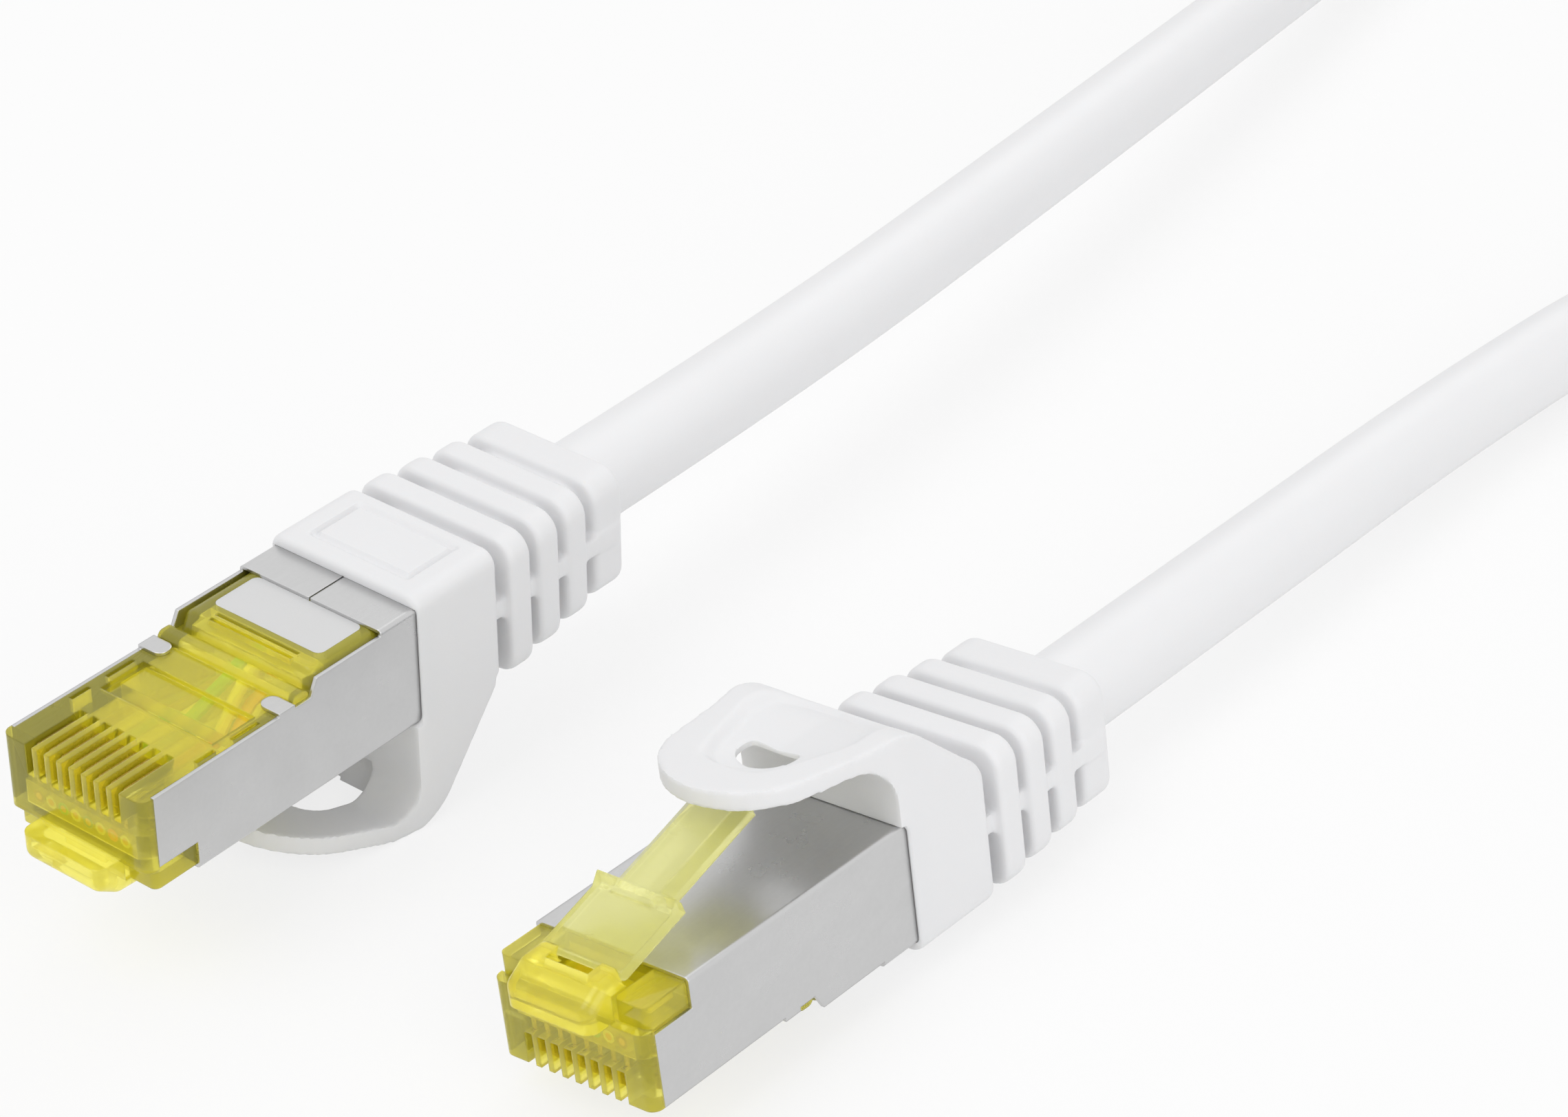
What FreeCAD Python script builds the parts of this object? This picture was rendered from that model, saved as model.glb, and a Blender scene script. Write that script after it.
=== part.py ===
import FreeCAD, Part
import math
import os
from types import SimpleNamespace

import Sketcher
from FreeCAD import Placement, Rotation, Vector

# Shielded network patch cable: two moulded plugs on one short round cable.
# Each plug is built in its own frame and then laid on the table.
# Plug frame: x runs from the nose to the cable, y is across, z = 0 is the latch side
# and z grows towards the contact side. Lengths are millimetres, angles degrees.

DRIVING = {
    # Plug body
    "plug_width": 11.68,
    "nose_height": 6.5,
    "nose_step": 1.45,
    "lip_length": 0.85,
    "nose_corner": 0.7,
    "deck_rise": 1.25,
    "deck_foot": 13.9,
    "deck_slope": 0.7,
    "deck_corner": 1.0,
    "housing_length": 22.4,
    "latch_face_front": 4.0,
    "bar_setback": 1.45,
    "bar_length": 1.3,
    "bar_height": 0.55,
    "bar_round": 0.45,
    "panel_front": 6.75,
    "panel_rear": 10.3,
    "panel_depth": 0.35,
    "side_slot_width": 0.3,
    "side_slot_depth": 2.2,
    "side_slot_front": 4.9,
    "side_slot_length": 1.5,
    "side_slot_rear": 7.8,
    "side_slot_rear_length": 2.2,
    "window_setback": 2.1,
    "window_length": 3.8,
    "window_round": 0.5,
    "rib_groove": 0.25,
    "rib_groove_depth": 0.45,
    "rib_groove_half_length": 3.4,
    "rib_groove_pitch": 0.55,
    # Latch shoulders beside the nose
    "shoulder_front": 0.6,
    "shoulder_round": 0.45,
    # Latch root
    "root_front": -1.6,
    "root_width": 6.6,
    "root_chin": 0.1,
    "root_round": 0.8,
    "root_back": 0.4,
    "root_shell": 0.9,
    "root_window_front": 0.45,
    "root_window_half": 1.65,
    # Latch lever, hinged at its thin root
    "latch_hinge_x": 2.0,
    "latch_hinge_drop": 0.7,
    "latch_thickness": 0.8,
    "latch_width": 6.0,
    "latch_slope": 16.3,
    "latch_travel": 12.0,
    "latch_gap": 0.2,
    "barb_start": 4.3,
    "barb_crest": 5.0,
    "barb_end": 5.3,
    "barb_height": 0.55,
    "tail_length": 13.0,
    "tail_width": 4.1,
    "tail_ridge_width": 2.8,
    "tail_ridge_height": 0.25,
    # Contacts
    "contact_pitch": 1.02,
    "contact_count": 8,
    "slot_width": 0.6,
    "slot_length": 4.6,
    "slot_depth": 2.1,
    "blade_thickness": 0.35,
    "blade_front": 0.5,
    "blade_length": 3.7,
    "blade_top_drop": 0.35,
    "blade_round": 0.4,
    "tine_front": 1.4,
    "tine_length": 2.2,
    "tine_notch": 0.5,
    "tine_notch_depth": 0.9,
    "slit_play": 0.04,
    # Wire chamber and load bar
    "chamber_front": 0.9,
    "side_wall": 1.04,
    "nose_wall": 0.45,
    "chamber_floor": 1.0,
    "fan_roof": 0.6,
    "mould_lead": 0.1,
    "deck_roof": 0.85,
    "bar_play": 0.05,
    "load_bar_length": 7.0,
    "load_bar_height": 1.5,
    # Cable construction
    "wire_diameter": 0.88,
    "core_diameter": 0.5,
    "core_reach": 4.0,
    "wire_lead": 0.35,
    "foil_lead": 1.5,
    "foil_setback": 2.3,
    "foil_diameter": 1.96,
    "cable_diameter": 6.1,
    "jacket_wall": 0.6,
    "cable_height": 4.0,
    "braid_wall": 0.35,
    "braid_length": 3.2,
    # Shield
    "sheet": 0.25,
    "shield_front": 0.85,
    "shield_side_foot": 1.7,
    "core_back": 1.5,
    "shield_bend": 0.3,
    "shield_step_lead": 0.2,
    "shield_step_run": 0.6,
    "shield_step_drop": 0.15,
    "band_length": 4.1,
    "band_seam": 0.12,
    "ear_gap": 0.05,
    "ear_width": 1.3,
    "ear_reach": 1.85,
    "clamp_length": 3.0,
    "clamp_wall": 0.25,
    "clamp_tongue": 4.0,
    # Boot
    "boot_lap": 0.3,
    "boot_side": 0.36,
    "boot_roof": 1.05,
    "boot_drop": 0.9,
    "boot_round": 1.5,
    "boot_body_length": 7.1,
    "relief_length": 12.5,
    "boot_end_width": 10.8,
    "boot_end_height": 8.5,
    "rib_pitch": 2.93,
    "rib_gap": 1.0,
    "rib_count": 4,
    "rib_rise": 0.4,
    "rib_core_half_width": 4.2,
    "rib_core_half_height": 3.5,
    "rib_web_half": 0.6,
    "rib_web_inset": 1.0,
    "frame_setback": 1.5,
    "frame_length": 4.4,
    "frame_half_width": 4.1,
    "frame_line": 0.25,
    "frame_depth": 0.15,
    # Latch guard
    "guard_thickness": 1.3,
    "guard_length": 9.0,
    "guard_half_width": 4.6,
    "guard_tip_round": 4.4,
    "guard_root_half_width": 5.0,
    "guard_reach": 2.7,
    "guard_gap": 0.25,
    "guard_edge": 0.4,
    "guard_travel": 22.5,
    "guard_hole_front": 0.8,
    "guard_hole_length": 3.0,
    "guard_hole_half_width": 1.9,
    "crest_length": 3.6,
    "arch_foot_gap": 0.5,
    # Pose of each plug on the table
    "crest_drop_pressed": 7.79,
    "crest_drop_free": 6.2,
    "guard_slope_pressed": 17.5,
    "guard_slope_free": -5.0,
    "nose_pressed_x": -23.97,
    "nose_pressed_y": 16.49,
    "nose_free_x": -16.87,
    "nose_free_y": -14.51,
    "free_plug_turn": -1.85,
    "free_plug_roll": 8.26,
}

PRESSED = "a"
FREE = "b"

# Cable centre line from the pressed plug to the free one, chosen by hand from the photographed
# lie. The first and last two points are worked out from the plugs.
ROUTE = [
    (74.0, 20.1, 10.5),
    (106.0, 25.1, 7.9),
    (133.0, 29.7, 5.4),
    (155.0, 33.0, 3.6),
    (177.4, 34.5, 3.05),
    (196.4, 25.3, 3.05),
    (207.0, 7.0, 3.05),
    (205.5, -13.9, 3.05),
    (192.5, -30.5, 3.05),
    (172.4, -36.9, 3.05),
    (148.0, -32.2, 3.05),
    (122.0, -24.4, 3.05),
    (98.0, -18.1, 3.4),
    (72.0, -16.8, 4.3),
]
LEAD_A_RUNS = 5
LEAD_B_RUNS = 5
EXIT_RUN = 22.0


class Size:
    # A number that remembers the formula it came from.
    def __init__(self, value, formula):
        self.value = float(value)
        self.formula = formula

    def __add__(self, other):
        return Size(self.value + number(other), "(%s + %s)" % (self.formula, formula(other)))

    def __radd__(self, other):
        return Size(number(other) + self.value, "(%s + %s)" % (formula(other), self.formula))

    def __sub__(self, other):
        return Size(self.value - number(other), "(%s - %s)" % (self.formula, formula(other)))

    def __rsub__(self, other):
        return Size(number(other) - self.value, "(%s - %s)" % (formula(other), self.formula))

    def __mul__(self, other):
        return Size(self.value * number(other), "(%s * %s)" % (self.formula, formula(other)))

    def __rmul__(self, other):
        return Size(number(other) * self.value, "(%s * %s)" % (formula(other), self.formula))

    def __truediv__(self, other):
        return Size(self.value / number(other), "(%s / %s)" % (self.formula, formula(other)))

    def __neg__(self):
        return Size(-self.value, "(0 - %s)" % self.formula)


def number(size):
    return size.value if isinstance(size, Size) else float(size)


def formula(size):
    return size.formula if isinstance(size, Size) else repr(size)


doc = FreeCAD.newDocument("PatchCable")
sheet = doc.addObject("Spreadsheet::Sheet", "Sizes")
for row, (alias, value) in enumerate(DRIVING.items(), start=1):
    sheet.set("A%d" % row, alias)
    sheet.set("B%d" % row, str(value))
    sheet.setAlias("B%d" % row, alias)
doc.recompute()
s = SimpleNamespace(**{alias: Size(value, "Sizes." + alias) for alias, value in DRIVING.items()})


# Sizes that follow from the ones above
s.half_plug = s.plug_width / 2
s.half_housing = s.half_plug - s.sheet
s.deck_height = s.nose_height + s.deck_rise
s.bar_front = s.deck_foot - s.bar_setback
s.chamber_half_width = s.half_housing - s.side_wall
s.panel_half_width = s.chamber_half_width + s.sheet / 5
s.window_half_width = s.chamber_half_width - s.sheet / 2
s.side_slot_half_gap = s.half_housing - s.side_slot_width * 2
s.window_front = s.deck_foot + s.window_setback
s.shoulder_inner = s.root_width / 2 - s.sheet / 2
s.slot_floor = s.nose_height - s.slot_depth
s.nose_floor = s.nose_step + s.nose_wall
s.chamber_ceiling = s.nose_floor + s.load_bar_height + s.bar_play * 3
s.load_bar_front = s.chamber_front + s.bar_play
s.load_bar_rear = s.load_bar_front + s.load_bar_length
s.wire_bend_start = s.load_bar_rear + s.wire_lead
s.fan_ceiling = s.nose_height - s.fan_roof
s.mould_front = s.window_front - s.mould_lead
s.foil_front = s.window_front - s.foil_lead
s.shield_rear = s.housing_length + s.core_back
s.shield_step_x = s.deck_foot - s.shield_step_lead
s.shield_step_top = s.deck_height - s.shield_step_drop
s.band_front = s.shield_rear - s.band_length
s.ear_front = s.bar_front - s.ear_gap - s.ear_width
s.boot_front = s.housing_length + s.boot_lap
s.boot_width = s.plug_width + s.boot_side * 2
s.boot_top = s.deck_height + s.boot_roof
s.boot_body_end = s.boot_front + s.boot_body_length
s.boot_end = s.boot_body_end + s.relief_length
s.foil_rear = s.boot_end - s.foil_setback
s.frame_front = s.boot_front + s.frame_setback
s.guard_hinge_x = s.boot_front - s.guard_reach
s.arch_crest = s.guard_hinge_x + s.crest_length
s.arch_inner_foot = s.boot_front - s.arch_foot_gap
s.arch_rear_foot = s.boot_body_end - s.arch_foot_gap
s.arch_inner_round = (s.guard_reach - s.arch_foot_gap) * 0.9


def bind(target, path, size):
    # Sets a property and ties it to the sheet where the size comes from there.
    if isinstance(size, Size):
        target.setExpression(path, size.formula)
    else:
        setattr(target, path, size)


def body_named(name):
    body = doc.addObject("PartDesign::Body", name)
    body.Label = name
    return body


def sketch_on(body, role, name, offset=None):
    sketch = body.newObject("Sketcher::SketchObject", name)
    plane = [item for item in body.Origin.OriginFeatures if item.Role == role][0]
    sketch.AttachmentSupport = [(plane, "")]
    sketch.MapMode = "FlatFace"
    if offset is not None:
        sketch.AttachmentOffset = Placement(Vector(0, 0, number(offset)), Rotation())
        bind(sketch, "AttachmentOffset.Base.z", offset)
    return sketch


def hold(sketch, kind, geometry, position, size):
    # Ties one coordinate of a point to its size.
    index = sketch.addConstraint(Sketcher.Constraint(kind, -1, 1, geometry, position, number(size)))
    if isinstance(size, Size):
        sketch.setExpression("Constraints[%d]" % index, size.formula)


def outline(sketch, corners):
    # Closed outline through corners (x, y) or (x, y, radius), where a radius rounds the corner.
    points = [Vector(number(corner[0]), number(corner[1]), 0) for corner in corners]
    count = len(points)
    leaves = []
    arrives = []
    arcs = {}
    for index, corner in enumerate(corners):
        here = points[index]
        back = (points[index - 1] - here).normalize()
        ahead = (points[(index + 1) % count] - here).normalize()
        radius = number(corner[2]) if len(corner) == 3 else 0.0
        if radius == 0.0:
            leaves.append(here)
            arrives.append(here)
            continue
        half = back.getAngle(ahead) / 2
        reach = radius / math.tan(half)
        arrive = here + back * reach
        leave = here + ahead * reach
        centre = here + (back + ahead).normalize() * (radius / math.sin(half))
        turns_left = (here - points[index - 1]).cross(points[(index + 1) % count] - here).z > 0
        first, last = (arrive, leave) if turns_left else (leave, arrive)
        start = math.atan2(first.y - centre.y, first.x - centre.x)
        end = math.atan2(last.y - centre.y, last.x - centre.x)
        circle = Part.Circle(centre, Vector(0, 0, 1), radius)
        arcs[index] = (Part.ArcOfCircle(circle, start, end), turns_left, corner[2])
        leaves.append(leave)
        arrives.append(arrive)
    marks = []
    for point, corner in zip(points, corners):
        mark = sketch.addGeometry(Part.Point(point), True)
        hold(sketch, "DistanceX", mark, 1, corner[0])
        hold(sketch, "DistanceY", mark, 1, corner[1])
        marks.append(mark)
    lines = []
    for index in range(count):
        line = Part.LineSegment(leaves[index], arrives[(index + 1) % count])
        lines.append(sketch.addGeometry(line, False))
    for index in range(count):
        before = lines[index - 1]
        after = lines[index]
        if index not in arcs:
            sketch.addConstraint(Sketcher.Constraint("Coincident", before, 2, marks[index], 1))
            sketch.addConstraint(Sketcher.Constraint("Coincident", after, 1, marks[index], 1))
            continue
        shape, turns_left, radius = arcs[index]
        arc = sketch.addGeometry(shape, False)
        near, far = (1, 2) if turns_left else (2, 1)
        sketch.addConstraint(Sketcher.Constraint("Tangent", before, 2, arc, near))
        sketch.addConstraint(Sketcher.Constraint("Tangent", after, 1, arc, far))
        sketch.addConstraint(Sketcher.Constraint("PointOnObject", marks[index], 1, before))
        sketch.addConstraint(Sketcher.Constraint("PointOnObject", marks[index], 1, after))
        index_radius = sketch.addConstraint(Sketcher.Constraint("Radius", arc, number(radius)))
        if isinstance(radius, Size):
            sketch.setExpression("Constraints[%d]" % index_radius, radius.formula)


def box_outline(sketch, left, bottom, right, top, radius=None):
    corners = [(left, bottom), (right, bottom), (right, top), (left, top)]
    if radius is not None:
        corners = [corner + (radius,) for corner in corners]
    outline(sketch, corners)


def ring(sketch, x, y, radius):
    circle = Part.Circle(Vector(number(x), number(y), 0), Vector(0, 0, 1), number(radius))
    index = sketch.addGeometry(circle, False)
    hold(sketch, "DistanceX", index, 3, x)
    hold(sketch, "DistanceY", index, 3, y)
    bound = sketch.addConstraint(Sketcher.Constraint("Radius", index, number(radius)))
    if isinstance(radius, Size):
        sketch.setExpression("Constraints[%d]" % bound, radius.formula)


def polygon_ring(sketch, x, y, radius):
    # Eight-sided hole that matches the thin rods.
    corners = []
    for step in range(8):
        angle = math.radians(22.5 + 45 * step)
        corners.append((x + radius * math.cos(angle), y + radius * math.sin(angle)))
    outline(sketch, corners)


def grow(body, sketch, length, name, middle=False, reverse=False):
    pad = body.newObject("PartDesign::Pad", name)
    pad.Profile = sketch
    bind(pad, "Length", length)
    pad.Midplane = middle
    pad.Reversed = reverse
    return finish(body, pad)


def carve(body, sketch, length, name, middle=False, reverse=False):
    doc.recompute()
    before = body.Shape.Volume
    pocket = body.newObject("PartDesign::Pocket", name)
    pocket.Profile = sketch
    bind(pocket, "Length", length)
    pocket.Midplane = middle
    pocket.Reversed = reverse
    finish(body, pocket)
    if body.Shape.Volume > before - 1e-6:
        raise RuntimeError("%s cut nothing" % name)
    return pocket


def finish(body, feature):
    body.Tip = feature
    for sketch in feature.OutList:
        if sketch.isDerivedFrom("Sketcher::SketchObject"):
            sketch.Visibility = False
    doc.recompute()
    if not feature.isValid():
        raise RuntimeError("%s failed" % feature.Name)
    return feature


def repeat(body, originals, role, length, count, name):
    pattern = body.newObject("PartDesign::LinearPattern", name)
    pattern.Originals = originals
    axis = [item for item in body.Origin.OriginFeatures if item.Role == role][0]
    pattern.Direction = (axis, [""])
    bind(pattern, "Length", length)
    bind(pattern, "Occurrences", count)
    return finish(body, pattern)


def soften(body, feature, radius, name, wanted):
    # Rounds the edges of a feature that the test picks out.
    doc.recompute()
    names = []
    for index, edge in enumerate(feature.Shape.Edges, start=1):
        if wanted(edge):
            names.append("Edge%d" % index)
    if not names:
        raise RuntimeError("%s found no edge" % name)
    fillet = body.newObject("PartDesign::Fillet", name)
    fillet.Base = (feature, names)
    bind(fillet, "Radius", radius)
    return finish(body, fillet)


def near(first, second):
    return abs(first - number(second)) < 1e-3


def upright(edge):
    # True for an edge that runs along z.
    box = edge.BoundBox
    return box.XLength < 1e-3 and box.YLength < 1e-3


half_plug = s.half_plug
half_housing = s.half_housing
half_boot = s.boot_width / 2
proud_side = half_boot + s.rib_rise
housing_width = half_housing * 2
cable_radius = s.cable_diameter / 2
wire_radius = s.wire_diameter / 2
core_radius = s.core_diameter / 2
foil_radius = s.foil_diameter / 2
wire_height = s.nose_floor + s.bar_play + s.load_bar_height / 2
first_contact = -(s.contact_pitch * (s.contact_count - 1) / 2)
contact_span = s.contact_pitch * (s.contact_count - 1)
pressed_turn = s.latch_slope - s.latch_travel
clamp_radius = cable_radius + s.braid_wall + s.clamp_wall
load_bar_front = s.load_bar_front
load_bar_rear = s.load_bar_rear


def contact_places():
    return [first_contact.value + s.contact_pitch.value * index for index in range(int(s.contact_count.value))]


def plug_housing(name):
    # Clear moulded housing: nose with contact slots, wire chamber, deck and latch root.
    body = body_named(name)
    side = sketch_on(body, "XZ_Plane", name + "_side")
    outline(side, [
        (0, s.nose_step),
        (s.latch_face_front, s.nose_step),
        (s.latch_face_front, 0),
        (s.housing_length, 0),
        (s.housing_length, s.deck_height),
        (s.deck_foot + s.deck_slope, s.deck_height, s.rib_groove),
        (s.deck_foot, s.nose_height),
        (s.bar_front + s.bar_length, s.nose_height),
        (s.bar_front + s.bar_length, s.nose_height + s.bar_height, s.bar_round),
        (s.bar_front, s.nose_height + s.bar_height, s.bar_round),
        (s.bar_front, s.nose_height),
        (0, s.nose_height),
    ])
    block = grow(body, side, housing_width, name + "_block", middle=True)
    front = number(s.deck_foot)
    soften(body, block, s.deck_corner, name + "_deck_corners",
           lambda edge: abs(edge.CenterOfMass.y) > half_housing.value - 1e-3
           and edge.BoundBox.YLength < 1e-3
           and front - 1e-3 < edge.BoundBox.XMin and edge.BoundBox.XMax < front + s.deck_slope.value
           and edge.BoundBox.ZLength > 0.5)
    lip = sketch_on(body, "YZ_Plane", name + "_lip_outline")
    box_outline(lip, -half_plug, s.nose_step, half_plug, s.nose_height)
    lip_block = grow(body, lip, s.lip_length, name + "_lip")
    soften(body, lip_block, s.nose_corner, name + "_nose_corners",
           lambda edge: upright(edge) and near(edge.CenterOfMass.x, 0)
           and near(abs(edge.CenterOfMass.y), half_plug))
    shoulders = sketch_on(body, "XY_Plane", name + "_shoulder_outline")
    for side_sign in (-1, 1):
        outer = half_housing * side_sign
        inner = s.shoulder_inner * side_sign
        outline(shoulders, [
            (s.shoulder_front, inner, s.shoulder_round),
            (s.shoulder_front, outer, s.shoulder_round),
            (s.latch_face_front, outer),
            (s.latch_face_front, inner),
        ])
    grow(body, shoulders, s.nose_step, name + "_shoulders")
    root_side = sketch_on(body, "XZ_Plane", name + "_root_side")
    shell_outer = -(s.latch_hinge_drop + s.latch_thickness / 2)
    outline(root_side, [
        (s.root_front, s.nose_step),
        (s.root_front, -s.root_chin, s.root_round),
        (0, shell_outer, s.root_round),
        (s.latch_hinge_x, shell_outer - s.root_chin),
        (s.latch_hinge_x, shell_outer + s.root_shell),
        (s.root_back, shell_outer + s.root_shell),
        (s.root_back, s.nose_step),
    ])
    root_block = grow(body, root_side, s.root_width, name + "_root", middle=True)
    soften(body, root_block, s.root_round, name + "_root_corners",
           lambda edge: upright(edge) and near(edge.CenterOfMass.x, s.root_front))
    seat = sketch_on(body, "XZ_Plane", name + "_latch_seat")
    ring(seat, s.latch_hinge_x, -s.latch_hinge_drop, s.latch_thickness / 2 + s.latch_gap)
    carve(body, seat, s.root_width * 2, name + "_latch_seat_cut", middle=True)
    opening = sketch_on(body, "XY_Plane", name + "_root_window", shell_outer * 2)
    box_outline(opening, s.root_window_front, -s.root_window_half, s.latch_hinge_x, s.root_window_half)
    carve(body, opening, -shell_outer * 2 + s.root_chin, name + "_root_window_cut", reverse=True)
    chamber = sketch_on(body, "XZ_Plane", name + "_chamber_side")
    fan_foot = s.latch_face_front + s.deck_roof
    outline(chamber, [
        (s.chamber_front, s.nose_floor),
        (fan_foot, s.nose_floor),
        (fan_foot, s.chamber_floor),
        (s.housing_length, s.chamber_floor),
        (s.housing_length, s.deck_height - s.deck_roof),
        (s.foil_front - s.bar_play, s.deck_height - s.deck_roof),
        (s.foil_front - s.bar_play, s.fan_ceiling),
        (s.wire_bend_start, s.fan_ceiling),
        (s.wire_bend_start, s.chamber_ceiling),
        (s.chamber_front, s.chamber_ceiling),
    ])
    carve(body, chamber, s.chamber_half_width * 2, name + "_chamber", middle=True)
    window = sketch_on(body, "XY_Plane", name + "_window", s.deck_height)
    window_rear = s.window_front + s.window_length
    box_outline(window, s.window_front, -s.window_half_width, window_rear, s.window_half_width,
                s.window_round)
    carve(body, window, s.deck_roof, name + "_window_cut")
    panel = sketch_on(body, "XY_Plane", name + "_panel", s.nose_height)
    box_outline(panel, s.panel_front, -s.panel_half_width, s.panel_rear, s.panel_half_width)
    carve(body, panel, s.panel_depth, name + "_panel_cut")
    slots = sketch_on(body, "XY_Plane", name + "_side_slots", s.nose_height)
    for start, run in ((s.side_slot_front, s.side_slot_length), (s.side_slot_rear, s.side_slot_rear_length)):
        for side_sign in (-1, 1):
            inner = s.side_slot_half_gap * side_sign
            outer = (s.side_slot_half_gap + s.side_slot_width) * side_sign
            box_outline(slots, start, inner, start + run, outer)
    carve(body, slots, s.side_slot_depth, name + "_side_slot_cut")
    grooves = sketch_on(body, "XY_Plane", name + "_deck_grooves", s.deck_height)
    for step in (1, 2):
        rear = s.window_front - s.rib_groove_pitch * step
        box_outline(grooves, rear - s.rib_groove, -s.rib_groove_half_length, rear, s.rib_groove_half_length)
    carve(body, grooves, s.rib_groove_depth, name + "_deck_groove_cut")
    slot = sketch_on(body, "XZ_Plane", name + "_slot_side", -first_contact)
    outline(slot, [
        (-s.lip_length, s.slot_floor),
        (s.slot_length - s.blade_round, s.slot_floor),
        (s.slot_length, s.nose_height + s.lip_length),
        (-s.lip_length, s.nose_height + s.lip_length),
    ])
    slot_cut = carve(body, slot, s.slot_width, name + "_slot", middle=True)
    slit = sketch_on(body, "XZ_Plane", name + "_slit_side", -first_contact)
    box_outline(slit, s.tine_front - s.slit_play, wire_height, s.tine_front + s.tine_length + s.slit_play,
                s.slot_floor + s.slit_play)
    slit_cut = carve(body, slit, s.blade_thickness + s.slit_play, name + "_slit", middle=True)
    repeat(body, [slot_cut, slit_cut], "Y_Axis", contact_span, s.contact_count, name + "_contact_slots")
    return body


def latch_lever(name):
    # Springy latch in its own frame: origin on the hinge line, x towards the tail.
    body = body_named(name)
    half = s.latch_thickness / 2
    knuckle = sketch_on(body, "XZ_Plane", name + "_knuckle_outline")
    ring(knuckle, 0, 0, half)
    grow(body, knuckle, s.latch_width, name + "_knuckle", middle=True)
    plate = sketch_on(body, "XZ_Plane", name + "_plate_side")
    outline(plate, [
        (0, -half),
        (s.barb_start, -half),
        (s.barb_crest, -half - s.barb_height),
        (s.barb_end - s.latch_gap, -half - s.barb_height),
        (s.barb_end, -half),
        (s.barb_end, half),
        (0, half),
    ])
    grow(body, plate, s.latch_width, name + "_plate", middle=True)
    tail = sketch_on(body, "YZ_Plane", name + "_tail_section", s.barb_start)
    tail_half = s.tail_width / 2
    ridge_half = s.tail_ridge_width / 2
    outline(tail, [
        (-tail_half, half),
        (-tail_half, -half / 2),
        (-ridge_half, -half - s.tail_ridge_height),
        (ridge_half, -half - s.tail_ridge_height),
        (tail_half, -half / 2),
        (tail_half, half),
    ])
    grow(body, tail, s.tail_length - s.barb_start, name + "_tail")
    return body


def contact_blades(name):
    # Eight stamped blades, each with a two-pointed foot that pierces its wire.
    top = s.nose_height - s.blade_top_drop
    foot = wire_height + core_radius
    rear = s.blade_front + s.blade_length
    tine_rear = s.tine_front + s.tine_length
    middle = s.tine_front + s.tine_length / 2
    profile = doc.addObject("Sketcher::SketchObject", name + "_profile")
    profile.Placement = Placement(Vector(0, 0, 0), Rotation(Vector(1, 0, 0), 90))
    outline(profile, [
        (s.blade_front, s.slot_floor),
        (s.tine_front, s.slot_floor),
        (s.tine_front, foot),
        (middle - s.tine_notch / 2, foot),
        (middle, foot + s.tine_notch_depth),
        (middle + s.tine_notch / 2, foot),
        (tine_rear, foot),
        (tine_rear, s.slot_floor),
        (rear, s.slot_floor),
        (rear, top - s.blade_round),
        (rear - s.blade_round, top),
        (s.blade_front + s.blade_round, top),
        (s.blade_front, top - s.blade_round),
    ])
    blades = []
    for index in range(int(s.contact_count.value)):
        blade = doc.addObject("Part::Extrusion", "%s_%d" % (name, index + 1))
        blade.Base = profile
        blade.DirMode = "Custom"
        blade.Dir = Vector(0, 1, 0)
        blade.Symmetric = True
        blade.Solid = True
        bind(blade, "LengthFwd", s.blade_thickness)
        bind(blade, "Placement.Base.y", first_contact + s.contact_pitch * index)
        blades.append(blade)
    group = doc.addObject("Part::Compound", name)
    group.Links = blades
    return group


def load_bar(name):
    # Wire guide: a block bored for the eight wires and slit for the blades.
    body = body_named(name)
    floor = s.nose_floor + s.bar_play
    half = s.chamber_half_width - s.bar_play
    section = sketch_on(body, "YZ_Plane", name + "_section", load_bar_front)
    box_outline(section, -half, floor, half, floor + s.load_bar_height)
    grow(body, section, s.load_bar_length, name + "_block")
    bores = sketch_on(body, "YZ_Plane", name + "_bore", load_bar_rear)
    polygon_ring(bores, first_contact, wire_height, wire_radius)
    bore = carve(body, bores, s.load_bar_length, name + "_bore_cut")
    slit = sketch_on(body, "XZ_Plane", name + "_slit_side", -first_contact)
    box_outline(slit, s.tine_front - s.slit_play, wire_height,
                s.tine_front + s.tine_length + s.slit_play, floor + s.load_bar_height + s.bar_play)
    slit_cut = carve(body, slit, s.blade_thickness + s.slit_play, name + "_slit", middle=True)
    repeat(body, [bore, slit_cut], "Y_Axis", contact_span, s.contact_count, name + "_bores")
    return body


# Contacts count from the -y side. Each pair is (contact, contact, where its foil lies).
PAIR_PLACES = {
    "orange": (0, 1, (-1, 0)),
    "green": (2, 5, (0, 1)),
    "blue": (3, 4, (0, -1)),
    "brown": (6, 7, (1, 0)),
}
STRIPED = (0, 2, 4, 6)
BEND_STEPS = 5


def foil_offset():
    # Distance from the cable's centre to each of four foils that touch their neighbours.
    return foil_radius.value * math.sqrt(2) + 0.03


def eight_sided(x, y, z, radius):
    # Flat face across the cable's direction: thin repeated rods are eight-sided.
    corners = []
    for step in range(9):
        angle = math.radians(22.5 + 45 * step)
        corners.append(Vector(x, y + radius * math.cos(angle), z + radius * math.sin(angle)))
    return Part.Face(Part.makePolygon(corners))


def rod(x, y, z, radius, length):
    return eight_sided(x, y, z, radius).extrude(Vector(length, 0, 0))


def wire_rod(y, across, up):
    # Straight through the load bar, then a smooth swing to the foil's mouth.
    z = wire_height.value
    radius = wire_radius.value
    bend = s.wire_bend_start.value
    reach = s.foil_front.value - bend
    sections = [eight_sided(load_bar_front.value, y, z, radius).OuterWire]
    for step in range(BEND_STEPS + 1):
        share = step / BEND_STEPS
        swing = share * share * (3 - 2 * share)
        place = (bend + reach * share, y + (across - y) * swing, z + (up - z) * swing)
        sections.append(eight_sided(*place, radius).OuterWire)
    return Part.makeLoft(sections, True, True)


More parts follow.
